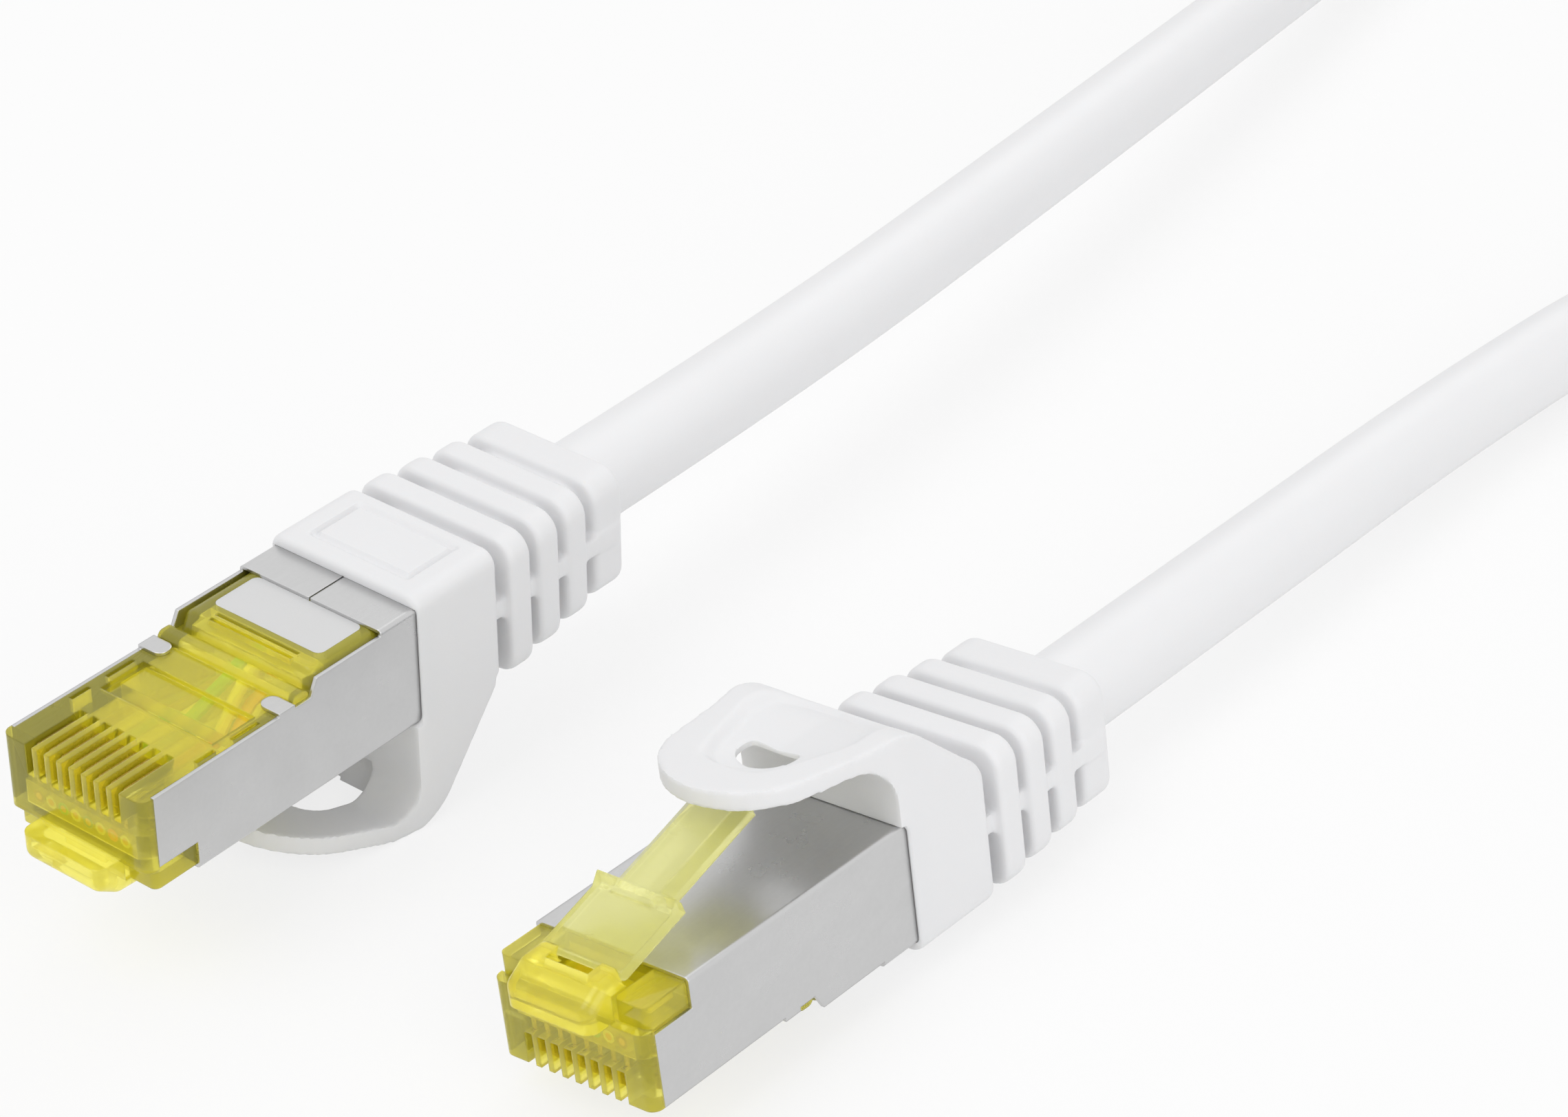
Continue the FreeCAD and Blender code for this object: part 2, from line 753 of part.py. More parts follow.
def wire_shapes():
    # Insulated wires by contact number, with the bore for the bared core and the blade's cut.
    shapes = {}
    centre = s.cable_height.value
    reach = foil_offset()
    half_gap = wire_radius.value + 0.03
    core = core_radius.value
    bore_length = s.core_reach.value
    for first, second, (side, rise) in PAIR_PLACES.values():
        middle = Vector(0, side * reach, centre + rise * reach)
        for contact, shift in ((first, -half_gap), (second, half_gap)):
            y = contact_places()[contact]
            wire = wire_rod(y, middle.y + shift, middle.z)
            wire = wire.cut(rod(load_bar_front.value, y, wire_height.value, core, bore_length))
            notch = Part.makeBox(
                s.tine_length.value + s.slit_play.value,
                s.blade_thickness.value + s.slit_play.value,
                wire_radius.value * 2,
                Vector(
                    s.tine_front.value - s.slit_play.value / 2,
                    y - (s.blade_thickness.value + s.slit_play.value) / 2,
                    wire_height.value + core * 0.8,
                ),
            )
            shapes[contact] = wire.cut(notch)
    return shapes


def plain_group(name, solids):
    group = doc.addObject("Part::Feature", name)
    group.Label = name
    group.Shape = solids[0] if len(solids) == 1 else Part.makeCompound(solids)
    return group


def wire_groups(suffix):
    shapes = wire_shapes()
    groups = []
    for colour, (first, second, place) in PAIR_PLACES.items():
        solid = first if first not in STRIPED else second
        groups.append(plain_group("wire_%s_%s" % (colour, suffix), [shapes[solid]]))
    groups.append(plain_group("wires_striped_" + suffix, [shapes[index] for index in STRIPED]))
    return groups


def conductor_cores(name):
    # Bared copper inside the front of each wire.
    solids = []
    radius = core_radius.value
    for y in contact_places():
        solids.append(rod(load_bar_front.value, y, wire_height.value, radius, s.core_reach.value))
    return plain_group(name, solids)


def foil_pairs(name):
    # Four foil-wrapped pairs from the fan of wires back into the jacket.
    solids = []
    reach = foil_offset()
    run = s.foil_rear.value - s.foil_front.value
    for place in PAIR_PLACES.values():
        side, rise = place[2]
        height = s.cable_height.value + rise * reach
        solids.append(rod(s.foil_front.value, side * reach, height, foil_radius.value, run))
    return plain_group(name, solids)


def shield_shell(name):
    # Folded sheet shield: channel, ears over the contact side, band round the deck, cable clamp.
    body = body_named(name)
    section = sketch_on(body, "YZ_Plane", name + "_section", s.shield_front)
    box_outline(section, -half_plug, -s.sheet, half_plug, s.deck_height + s.sheet, s.shield_bend)
    box_outline(section, -half_housing, 0, half_housing, s.deck_height)
    grow(body, section, s.shield_rear - s.shield_front, name + "_tube")
    side = sketch_on(body, "XZ_Plane", name + "_side_cut")
    outline(side, [
        (0, -s.nose_step),
        (s.latch_face_front - s.bar_play, -s.nose_step),
        (s.latch_face_front - s.bar_play, s.shield_side_foot),
        (0, s.shield_side_foot),
    ])
    above = s.deck_height + s.nose_step
    outline(side, [
        (0, s.nose_height),
        (s.shield_step_x, s.nose_height),
        (s.shield_step_x + s.shield_step_run, s.shield_step_top),
        (s.band_front, s.shield_step_top),
        (s.band_front, above),
        (0, above),
    ])
    carve(body, side, s.plug_width * 2, name + "_side_trim", middle=True)
    seam = sketch_on(body, "XY_Plane", name + "_seam", s.deck_height - s.sheet)
    box_outline(seam, s.band_front - s.sheet, -s.band_seam / 2, s.shield_rear + s.sheet, s.band_seam / 2)
    carve(body, seam, s.sheet * 3, name + "_seam_cut", reverse=True)
    ears = sketch_on(body, "XY_Plane", name + "_ears", s.nose_height)
    ear_rear = s.ear_front + s.ear_width
    for side_sign in (-1, 1):
        outer = half_plug * side_sign
        tip = (half_plug - s.ear_reach) * side_sign
        outline(ears, [
            (s.ear_front, outer),
            (ear_rear, outer),
            (ear_rear, tip, s.ear_width * 0.45),
            (s.ear_front, tip, s.ear_width * 0.45),
        ])
    grow(body, ears, s.sheet, name + "_ear_tabs")
    strap = sketch_on(body, "XZ_Plane", name + "_strap_side")
    ring_floor = s.cable_height - clamp_radius
    ramp = s.shield_rear + s.sheet * 2
    clamp_front = ramp + s.sheet * 2
    outline(strap, [
        (s.shield_rear - s.sheet * 2, -s.sheet),
        (ramp, -s.sheet),
        (clamp_front, ring_floor),
        (clamp_front + s.clamp_length, ring_floor),
        (clamp_front + s.clamp_length, ring_floor + s.clamp_wall * 0.9),
        (clamp_front - s.sheet / 2, ring_floor + s.clamp_wall * 0.9),
        (ramp - s.sheet / 2, 0),
        (s.shield_rear - s.sheet * 2, 0),
    ])
    grow(body, strap, s.clamp_tongue / 4, name + "_strap", middle=True)
    clamp = sketch_on(body, "YZ_Plane", name + "_clamp_ring", clamp_front)
    ring(clamp, 0, s.cable_height, clamp_radius)
    ring(clamp, 0, s.cable_height, cable_radius + s.braid_wall)
    grow(body, clamp, s.clamp_length, name + "_clamp")
    return body


def inner_mould(name):
    # Pale moulded core that fills the deck's window and grips the cable behind it.
    body = body_named(name)
    floor = s.chamber_floor
    core = sketch_on(body, "XZ_Plane", name + "_side")
    outline(core, [
        (s.mould_front + s.bar_play, floor),
        (s.housing_length, floor),
        (s.housing_length, s.deck_height - s.deck_roof),
        (s.mould_front + s.bar_play, s.deck_height - s.deck_roof),
    ])
    grow(body, core, s.chamber_half_width * 2, name + "_core", middle=True)
    pad = sketch_on(body, "XY_Plane", name + "_window_outline", s.deck_height - s.deck_roof)
    rear = s.window_front + s.window_length
    box_outline(pad, s.window_front, -s.window_half_width, rear, s.window_half_width, s.window_round)
    grow(body, pad, s.deck_roof, name + "_window_pad")
    back = sketch_on(body, "YZ_Plane", name + "_back_outline", s.housing_length)
    box_outline(back, -half_housing, 0, half_housing, s.deck_height)
    grow(body, back, s.shield_rear - s.housing_length, name + "_back")
    bore = sketch_on(body, "YZ_Plane", name + "_foil_bore", s.mould_front)
    ring(bore, 0, s.cable_height, cable_radius - s.jacket_wall)
    carve(body, bore, s.shield_rear, name + "_foil_bore_cut", reverse=True)
    return body


def jacket_end(name):
    # Outer jacket inside the boot, hollow for the foiled pairs.
    body = body_named(name)
    section = sketch_on(body, "YZ_Plane", name + "_section", s.shield_rear)
    ring(section, 0, s.cable_height, cable_radius)
    ring(section, 0, s.cable_height, cable_radius - s.jacket_wall)
    grow(body, section, s.boot_end - s.shield_rear, name + "_tube")
    return body


def braid_end(name):
    # Screening braid folded back over the jacket and gripped by the clamp.
    body = body_named(name)
    section = sketch_on(body, "YZ_Plane", name + "_section", s.shield_rear + s.bar_play)
    ring(section, 0, s.cable_height, cable_radius + s.braid_wall)
    ring(section, 0, s.cable_height, cable_radius)
    grow(body, section, s.sheet * 4 + s.braid_length, name + "_tube")
    return body


def boot(name, crest_drop):
    # Soft moulded boot: body, arch for the latch guard and a ribbed bend relief.
    body = body_named(name)
    section = sketch_on(body, "YZ_Plane", name + "_body_outline", s.boot_front)
    box_outline(section, -half_boot, -s.boot_drop, half_boot, s.boot_top, s.boot_round)
    grow(body, section, s.boot_body_end - s.boot_front, name + "_body")
    middle = (s.boot_top - s.boot_drop) / 2
    near_end = sketch_on(body, "YZ_Plane", name + "_relief_start", s.boot_body_end)
    box_outline(near_end, -proud_side, -s.boot_drop - s.rib_rise, proud_side, s.boot_top, s.boot_round)
    far_end = sketch_on(body, "YZ_Plane", name + "_relief_end", s.boot_end)
    half_end = s.boot_end_width / 2
    half_end_height = s.boot_end_height / 2
    box_outline(far_end, -half_end, middle - half_end_height, half_end, middle + half_end_height,
                s.boot_round)
    relief = body.newObject("PartDesign::AdditiveLoft", name + "_relief")
    relief.Profile = near_end
    relief.Sections = [far_end]
    relief.Ruled = True
    finish(body, relief)
    groove = sketch_on(body, "YZ_Plane", name + "_groove_outline", s.boot_body_end)
    outer = half_boot * 2
    core = s.rib_core_half_width
    web = half_boot - s.rib_web_inset
    web_round = s.rib_web_half
    for rise in (-1, 1):
        web_edge = middle + s.rib_web_half * rise
        crown = middle + s.rib_core_half_height * rise
        far = middle + outer * rise
        outline(groove, [
            (-outer, web_edge),
            (-core, web_edge),
            (-core, crown, s.boot_round),
            (core, crown, s.boot_round),
            (core, web_edge),
            (outer, web_edge),
            (outer, far),
            (-outer, far),
        ])
    cut = carve(body, groove, s.rib_gap, name + "_groove", reverse=True)
    repeat(body, [cut], "X_Axis", s.rib_pitch * (s.rib_count - 1), s.rib_count, name + "_grooves")
    web_sides = sketch_on(body, "YZ_Plane", name + "_web_sides", s.boot_body_end)
    for side_sign in (-1, 1):
        box_outline(web_sides, web * side_sign, middle - web_round * 2, outer * side_sign,
                    middle + web_round * 2)
    side_cut = carve(body, web_sides, s.rib_gap, name + "_web_side", reverse=True)
    repeat(body, [side_cut], "X_Axis", s.rib_pitch * (s.rib_count - 1), s.rib_count, name + "_web_sides_cut")
    arch = sketch_on(body, "XZ_Plane", name + "_arch_side")
    crest = -crest_drop
    inner_crest = crest + s.guard_thickness
    outline(arch, [
        (s.arch_inner_foot, 0),
        (s.arch_inner_foot, inner_crest, s.arch_inner_round),
        (s.guard_hinge_x, inner_crest),
        (s.guard_hinge_x, crest),
        (s.arch_crest, crest, s.guard_thickness * 3),
        (s.arch_rear_foot, -s.boot_drop),
        (s.arch_rear_foot, 0),
    ])
    grow(body, arch, s.boot_width, name + "_arch", middle=True)
    waist = sketch_on(body, "XY_Plane", name + "_arch_waist", crest * 1.5)
    waist_rear = s.arch_inner_foot + s.guard_thickness * 2
    for side_sign in (-1, 1):
        outline(waist, [
            (s.guard_hinge_x - s.guard_thickness * 2, s.guard_root_half_width * side_sign),
            (s.guard_hinge_x + s.guard_thickness / 2, s.guard_root_half_width * side_sign,
             s.guard_thickness * 2),
            (waist_rear, half_boot * side_sign, s.guard_thickness * 2),
            (s.arch_rear_foot, half_boot * side_sign),
            (s.arch_rear_foot, half_boot * 2 * side_sign),
            (s.guard_hinge_x - s.guard_thickness * 2, half_boot * 2 * side_sign),
        ])
    carve(body, waist, crest * -1.5 - s.boot_drop, name + "_arch_waist_cut", reverse=True)
    seat = sketch_on(body, "XZ_Plane", name + "_guard_seat")
    ring(seat, s.guard_hinge_x, crest + s.guard_thickness / 2, s.guard_thickness / 2 + s.guard_gap)
    carve(body, seat, s.boot_width * 2, name + "_guard_seat_cut", middle=True)
    pocket = sketch_on(body, "YZ_Plane", name + "_shield_pocket", s.boot_front)
    box_outline(pocket, -half_plug, -s.sheet, half_plug, s.deck_height + s.sheet, s.shield_bend)
    carve(body, pocket, s.shield_rear - s.boot_front, name + "_shield_pocket_cut", reverse=True)
    clear = sketch_on(body, "XZ_Plane", name + "_shield_clearance")
    outline(clear, [
        (s.guard_hinge_x - s.guard_thickness * 2, -s.sheet),
        (s.boot_front, -s.sheet),
        (s.boot_front, s.boot_top),
        (s.guard_hinge_x - s.guard_thickness * 2, s.boot_top),
    ])
    carve(body, clear, s.boot_width * 2, name + "_shield_clearance_cut", middle=True)
    clamp = sketch_on(body, "YZ_Plane", name + "_clamp_room", s.shield_rear)
    ring(clamp, 0, s.cable_height, clamp_radius)
    clamp_room = s.sheet * 4 + s.clamp_length + s.bar_play
    carve(body, clamp, clamp_room + s.braid_length - s.clamp_length, name + "_clamp_room_cut", reverse=True)
    strap = sketch_on(body, "YZ_Plane", name + "_strap_room", s.shield_rear)
    strap_half = s.clamp_tongue / 8 + s.bar_play
    box_outline(strap, -strap_half, -s.sheet, strap_half, s.cable_height)
    carve(body, strap, clamp_room, name + "_strap_room_cut", reverse=True)
    bore = sketch_on(body, "YZ_Plane", name + "_cable_bore", s.shield_rear)
    ring(bore, 0, s.cable_height, cable_radius)
    carve(body, bore, s.boot_end, name + "_cable_bore_cut", reverse=True)
    frame = sketch_on(body, "XY_Plane", name + "_frame_line", s.boot_top)
    left = s.frame_front
    right = s.frame_front + s.frame_length
    line = s.frame_line
    box_outline(frame, left, -s.frame_half_width, right, s.frame_half_width)
    box_outline(frame, left + line, -s.frame_half_width + line, right - line, s.frame_half_width - line)
    carve(body, frame, s.frame_depth, name + "_frame_line_cut")
    return body


def latch_guard(name):
    # Flexible paddle in its own frame: origin on the hinge line, the tip at -x.
    body = body_named(name)
    half = s.guard_thickness / 2
    plan = sketch_on(body, "XY_Plane", name + "_plan")
    outline(plan, [
        (0, -s.guard_root_half_width),
        (0, s.guard_root_half_width),
        (-s.guard_length, s.guard_half_width, s.guard_tip_round),
        (-s.guard_length, -s.guard_half_width, s.guard_tip_round),
    ])
    grow(body, plan, s.guard_thickness, name + "_plate", middle=True)
    knuckle = sketch_on(body, "XZ_Plane", name + "_knuckle_outline")
    ring(knuckle, 0, 0, half)
    grow(body, knuckle, s.guard_root_half_width * 2, name + "_knuckle", middle=True)
    hole = sketch_on(body, "XY_Plane", name + "_hole", half)
    rear = -s.guard_hole_front
    front = -(s.guard_hole_front + s.guard_hole_length)
    wide = s.guard_hole_half_width
    outline(hole, [
        (rear, -wide, s.guard_edge),
        (rear, wide, s.guard_edge),
        (front, wide, wide * 0.95),
        (front, -wide, wide * 0.95),
    ])
    carve(body, hole, s.guard_thickness, name + "_hole_cut")
    return body


def along_y(angle):
    return Rotation(Vector(0, 1, 0), angle)


def plug_place(suffix):
    # Where each plug lies: the first on the crest of its guard, the other on its contact side.
    if suffix == PRESSED:
        place = Vector(s.nose_pressed_x.value, s.nose_pressed_y.value, s.crest_drop_pressed.value)
        return Placement(place, Rotation())
    roll = math.radians(s.free_plug_roll.value)
    edge = s.boot_round.value
    across = (proud_side.value - edge) * math.sin(roll)
    down = (s.boot_top.value - edge) * math.cos(roll)
    place = Vector(s.nose_free_x.value, s.nose_free_y.value, across + down + edge)
    turn = Rotation(Vector(0, 0, 1), s.free_plug_turn.value)
    return Placement(place, turn * Rotation(Vector(1, 0, 0), 180 - s.free_plug_roll.value))


def make_plug(suffix):
    crest_drop = s.crest_drop_pressed if suffix == PRESSED else s.crest_drop_free
    guard_slope = s.guard_slope_pressed if suffix == PRESSED else s.guard_slope_free
    latch_slope = pressed_turn if suffix == PRESSED else s.latch_slope
    place = plug_place(suffix)
    latch_place = Placement(Vector(s.latch_hinge_x.value, 0, -s.latch_hinge_drop.value),
                            along_y(latch_slope.value))
    guard_height = s.guard_thickness.value / 2 - crest_drop.value
    guard_place = Placement(Vector(s.guard_hinge_x.value, 0, guard_height), along_y(guard_slope.value))
    pieces = [
        plug_housing("plug_housing_" + suffix),
        contact_blades("contact_blades_" + suffix),
        load_bar("load_bar_" + suffix),
        conductor_cores("conductor_cores_" + suffix),
        foil_pairs("foil_pairs_" + suffix),
        shield_shell("shield_shell_" + suffix),
        inner_mould("inner_mould_" + suffix),
        jacket_end("jacket_end_" + suffix),
        braid_end("braid_end_" + suffix),
        boot("boot_" + suffix, crest_drop),
    ]
    pieces.extend(wire_groups(suffix))
    for piece in pieces:
        piece.Placement = place
    lever = latch_lever("latch_lever_" + suffix)
    lever.Placement = place * latch_place
    guard = latch_guard("latch_guard_" + suffix)
    guard.Placement = place * guard_place
    for hinge, kind in ((latch_place, "latch"), (guard_place, "guard")):
        spot = place.multVec(hinge.Base)
        axis = place.Rotation.multVec(Vector(0, 1, 0))
        print("%s hinge %s at %.4f %.4f %.4f axis %.6f %.6f %.6f"
              % (kind, suffix, spot.x, spot.y, spot.z, axis.x, axis.y, axis.z))
    return pieces + [lever, guard]


def cable_route():
    # Both ends leave their boot straight along its axis.
    start = Vector(s.boot_end.value, 0, s.cable_height.value)
    points = []
    for suffix in (PRESSED, FREE):
        place = plug_place(suffix)
        exit_point = place.multVec(start)
        straight = exit_point + place.Rotation.multVec(Vector(EXIT_RUN, 0, 0))
        points.append((exit_point, straight))
    middle = [Vector(*point) for point in ROUTE]
    return [points[0][0], points[0][1]] + middle + [points[1][1], points[1][0]]


def rounded_runs(points):
    # Straight runs joined by tangent arcs, each as large as its two runs allow.
    runs = []
    leave = points[0]
    radii = []
    for index in range(1, len(points) - 1):
        here = points[index]
        back = points[index - 1] - here
        ahead = points[index + 1] - here
        turn = math.pi - back.getAngle(ahead)
        reach = 0.45 * min(back.Length, ahead.Length)
        radii.append(reach / math.tan(turn / 2))
        arrive = here + back.normalize() * reach
        depart = here + ahead.normalize() * reach
        inward = (arrive + depart) * 0.5 - here
        crown = here + inward.normalize() * (radii[-1] / math.cos(turn / 2) - radii[-1])
        runs.append([Part.LineSegment(leave, arrive).toShape()])
        runs[-1].append(Part.Arc(arrive, crown, depart).toShape())
        leave = depart
    runs.append([Part.LineSegment(leave, points[-1]).toShape()])
    return runs, radii


def cable_nodes():
    points = cable_route()
    runs, radii = rounded_runs(points)
    print("cord radii " + " ".join("%.1f" % radius for radius in radii))
    radius = cable_radius.value
    cut_a = LEAD_A_RUNS
    cut_b = len(runs) - LEAD_B_RUNS
    spans = [("cable_lead_a", 0, cut_a), ("cable_loop", cut_a, cut_b), ("cable_lead_b", cut_b, len(runs))]
    nodes = []
    total = 0.0
    for name, first, last in spans:
        edges = [edge for run in runs[first:last] for edge in run]
        path = Part.Wire(edges)
        start = edges[0].Vertexes[0].Point
        heading = edges[0].tangentAt(edges[0].FirstParameter)
        section = Part.Wire([Part.Circle(start, heading, radius).toShape()])
        tube = path.makePipeShell([section], True, True)
        expected = math.pi * radius * radius * path.Length
        if abs(tube.Volume - expected) > 0.01 * expected:
            raise RuntimeError("%s has the wrong volume" % name)
        total += path.Length
        nodes.append(plain_group(name, [tube]))
    print("cord length %.1f" % total)
    return nodes


pieces = make_plug(PRESSED) + make_plug(FREE) + cable_nodes()
doc.recompute()
for item in doc.Objects:
    if "Invalid" in item.State or "Error" in item.State:
        raise RuntimeError("%s is %s" % (item.Name, item.State))
os.makedirs("parts", exist_ok=True)
box = FreeCAD.BoundBox()
for piece in pieces:
    shape = piece.Shape
    if shape.isNull() or not shape.isValid() or not shape.Solids:
        raise RuntimeError("%s has no valid solid" % piece.Label)
    shape.exportStep("parts/%s.step" % piece.Label)
    if not piece.Label.startswith("cable_"):
        box.add(shape.BoundBox)
print("plug box %.3f %.3f %.3f to %.3f %.3f %.3f"
      % (box.XMin, box.YMin, box.ZMin, box.XMax, box.YMax, box.ZMax))
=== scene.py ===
import math

import bmesh
import bpy
from mathutils import Matrix, Vector


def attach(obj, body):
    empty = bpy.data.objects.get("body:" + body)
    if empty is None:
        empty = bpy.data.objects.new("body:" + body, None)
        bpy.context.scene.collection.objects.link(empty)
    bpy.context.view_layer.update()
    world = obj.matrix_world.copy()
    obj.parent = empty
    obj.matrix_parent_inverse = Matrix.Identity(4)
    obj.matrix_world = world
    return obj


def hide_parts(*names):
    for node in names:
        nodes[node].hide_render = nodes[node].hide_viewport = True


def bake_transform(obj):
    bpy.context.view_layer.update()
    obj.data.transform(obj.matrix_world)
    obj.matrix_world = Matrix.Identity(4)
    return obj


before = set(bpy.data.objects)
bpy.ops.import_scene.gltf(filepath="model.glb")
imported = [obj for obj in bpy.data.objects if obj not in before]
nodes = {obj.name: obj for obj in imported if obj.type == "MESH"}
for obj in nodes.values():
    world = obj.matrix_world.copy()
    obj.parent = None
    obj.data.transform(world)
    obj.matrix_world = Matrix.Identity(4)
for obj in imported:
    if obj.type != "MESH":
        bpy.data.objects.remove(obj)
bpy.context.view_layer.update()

rootBody = "plugs_and_cable"
milli = 0.001

# The two plugs: a lies on its latch guard, b on its contact side. Lengths in millimetres.
# A hole is its rear and front along the guard from the hinge, and its half width. The pressed
# guard of a meets the arch in two inner corners, and the free one of b in a single wide corner.
plugs = {
    "a": {
        "nose": (-23.97, 16.49, 7.79),
        "turn": 0.0,
        "roll": 0.0,
        "crest": 7.79,
        "guardSlope": 17.5,
        "hole": (-2.6, 3.8, 1.95),
        "innerRounds": (2.0, 1.0),
    },
    "b": {
        "nose": (-16.87, -14.51, 9.457),
        "turn": -1.85,
        "roll": 180 - 8.26,
        "crest": 6.2,
        "guardSlope": -5.0,
        "hole": (0.8, 3.5, 1.9),
        "innerRounds": (3.2,),
    },
}

plugSizes = {
    "width": 11.68,
    "sheet": 0.25,
    "deckHeight": 7.75,
    "shieldRear": 23.9,
    "bootFront": 22.7,
    "bootEnd": 42.3,
    "cableHeight": 4.0,
    "guardHinge": 20.0,
}


def plugMatrix(plug):
    # Plug frame in millimetres to the row frame in metres.
    place = Matrix.Translation(Vector(plug["nose"]) * milli)
    turn = Matrix.Rotation(math.radians(plug["turn"]), 4, "Z")
    roll = Matrix.Rotation(math.radians(plug["roll"]), 4, "X")
    return place @ turn @ roll @ Matrix.Scale(milli, 4)


def linked(name, data):
    item = bpy.data.objects.new(name, data)
    bpy.context.scene.collection.objects.link(item)
    return item


# Camera at the photograph's angle

cameraSettings = {
    "place": (-0.15790, -0.14279, 0.16164),
    "heading": 38.62,
    "down": 33.09,
    "view": 20.253,
    "clip": (0.01, 20),
}


def makeCamera(settings):
    data = bpy.data.cameras.new("camera")
    data.sensor_fit = "HORIZONTAL"
    data.angle = math.radians(settings["view"])
    data.clip_start, data.clip_end = settings["clip"]
    camera = linked("camera", data)
    camera.location = settings["place"]
    tilt = math.radians(90 - settings["down"])
    pan = math.radians(settings["heading"] - 90)
    camera.rotation_euler = (tilt, 0, pan)
    bpy.context.scene.camera = camera


makeCamera(cameraSettings)
print("camera placed")


# Materials


class Link:
    # An output socket that takes part in arithmetic; each step adds a Math node.
    def __init__(self, look, socket):
        self.look = look
        self.socket = socket

    def step(self, operation, *values):
        return self.look.add("ShaderNodeMath", {"operation": operation}, dict(enumerate(values)))[0]

    def __add__(self, other):
        return self.step("ADD", self, other)

    __radd__ = __add__

    def __mul__(self, other):
        return self.step("MULTIPLY", self, other)

    __rmul__ = __mul__


class Added:
    # A new node, whose outputs are read as links.
    def __init__(self, look, node):
        self.look = look
        self.node = node

    def __getitem__(self, key):
        return Link(self.look, self.node.outputs[key])


class Look:
    # The node tree of a material or of the world.
    def __init__(self, owner):
        self.owner = owner
        owner.use_nodes = True
        self.tree = owner.node_tree
        self.tree.nodes.clear()

    def add(self, kind, settings=None, inputs=None):
        node = self.tree.nodes.new(kind)
        for key, value in (settings or {}).items():
            setattr(node, key, value)
        for key, value in (inputs or {}).items():
            if isinstance(value, Link):
                self.tree.links.new(value.socket, node.inputs[key])
            else:
                node.inputs[key].default_value = value
        return Added(self, node)

    def noise(self, scale, detail=2.0, roughness=0.5, where=None):
        inputs = {"Vector": where or self.place, "Scale": scale, "Detail": detail}
        inputs["Roughness"] = roughness
        return self.add("ShaderNodeTexNoise", None, inputs)["Fac"]

    def between(self, factor, low, high):
        inputs = {"Value": factor, "To Min": low, "To Max": high}
        return self.add("ShaderNodeMapRange", None, inputs)[0]

    def tint(self, factor, first, second):
        # In colour mode Mix has its factor in socket 0 and its colours in 6 and 7.
        inputs = {0: factor, 6: first, 7: second}
        return self.add("ShaderNodeMix", {"data_type": "RGBA"}, inputs)[2]

    def rounded(self, radius, samples):
        return self.add("ShaderNodeBevel", {"samples": samples}, {"Radius": radius})["Normal"]

    def bump(self, height, strength, distance, normal=None):
        inputs = {"Height": height, "Strength": strength, "Distance": distance}
        if normal is not None:
            inputs["Normal"] = normal
        return self.add("ShaderNodeBump", None, inputs)["Normal"]

    def shader(self, **inputs):
        named = {key.replace("_", " "): value for key, value in inputs.items()}
        return self.add("ShaderNodeBsdfPrincipled", None, named)["BSDF"]

    def mix(self, share, first, second):
        return self.add("ShaderNodeMixShader", None, {0: share, 1: first, 2: second})["Shader"]

    def seenByEye(self, share):
        # That share for rays from the camera, off metal and through glass, and 0 for the rest.
        path = self.add("ShaderNodeLightPath")
        seen = path["Is Camera Ray"] + path["Is Glossy Ray"] + path["Is Transmission Ray"]
        settings = {"operation": "MULTIPLY", "use_clamp": True}
        return self.add("ShaderNodeMath", settings, {0: seen, 1: share})[0]

    def output(self, surface, kind="ShaderNodeOutputMaterial"):
        self.add(kind, None, {"Surface": surface})
        return self.owner


def newLook(name):
    # A new material whose patterns follow the object's own place.
    look = Look(bpy.data.materials.new(name))
    look.place = look.add("ShaderNodeTexCoord")["Object"]
    return look


def rgb(red, green, blue):
    return (red, green, blue, 1.0)


def darker(colour, share):
    return tuple(channel * share for channel in colour[:3]) + (1.0,)


# A pattern is its scale, detail and, where it isn't 0.5, roughness; a grain is strength and depth.
resinLook = {
    "cloud": (450, 3),
    "wave": (900, 2),
    "patches": (2500, 2),
    "light": rgb(1.0, 0.955, 0.28),
    "deep": rgb(1.0, 0.925, 0.17),
    "index": 1.51,
    "roughness": (0.02, 0.07),
    "milk": rgb(0.98, 0.87, 0.035),
    "milkPale": rgb(0.99, 0.92, 0.09),
    "milkShare": 0.28,
    "clear": rgb(1.0, 0.98, 0.45),
    "clearShare": 0.12,
    "milkRoughness": 0.25,
    "ripple": (0.15, 0.00004),
    "edge": 0.00018,
    "edgeSamples": 4,
}

latchLook = dict(
    resinLook,
    light=rgb(1.0, 0.99, 0.62),
    deep=rgb(1.0, 0.98, 0.48),
    milk=rgb(0.99, 0.97, 0.22),
    milkPale=rgb(0.99, 0.98, 0.4),
    milkShare=0.22,
    clear=rgb(1.0, 0.99, 0.72),
    clearShare=0.16,
)


def makeResin(name, settings):
    # Tinted glass with a share of milky body; shadow rays pass it in its own tint.
    look = newLook(name)
    cloud = look.noise(*settings["cloud"])
    colour = look.tint(cloud, settings["light"], settings["deep"])
    rough = look.between(look.noise(*settings["patches"]), *settings["roughness"])
    rounded = look.rounded(settings["edge"], settings["edgeSamples"])
    wave = look.bump(look.noise(*settings["wave"]), *settings["ripple"], rounded)
    glass = look.shader(
        Base_Color=colour,
        Roughness=rough,
        IOR=settings["index"],
        Transmission_Weight=1.0,
        Normal=wave,
    )
    milk = look.shader(
        Base_Color=look.tint(cloud, settings["milk"], settings["milkPale"]),
        Roughness=settings["milkRoughness"],
        Normal=wave,
    )
    clear = look.add("ShaderNodeBsdfTransparent", None, {"Color": settings["clear"]})["BSDF"]
    inputs = {0: look.add("ShaderNodeLightPath")["Is Shadow Ray"], 1: settings["clearShare"]}
    share = look.add("ShaderNodeMath", {"operation": "MAXIMUM"}, inputs)[0]
    cloudy = look.mix(settings["milkShare"], glass, milk)
    return look.output(look.mix(share, cloudy, clear))


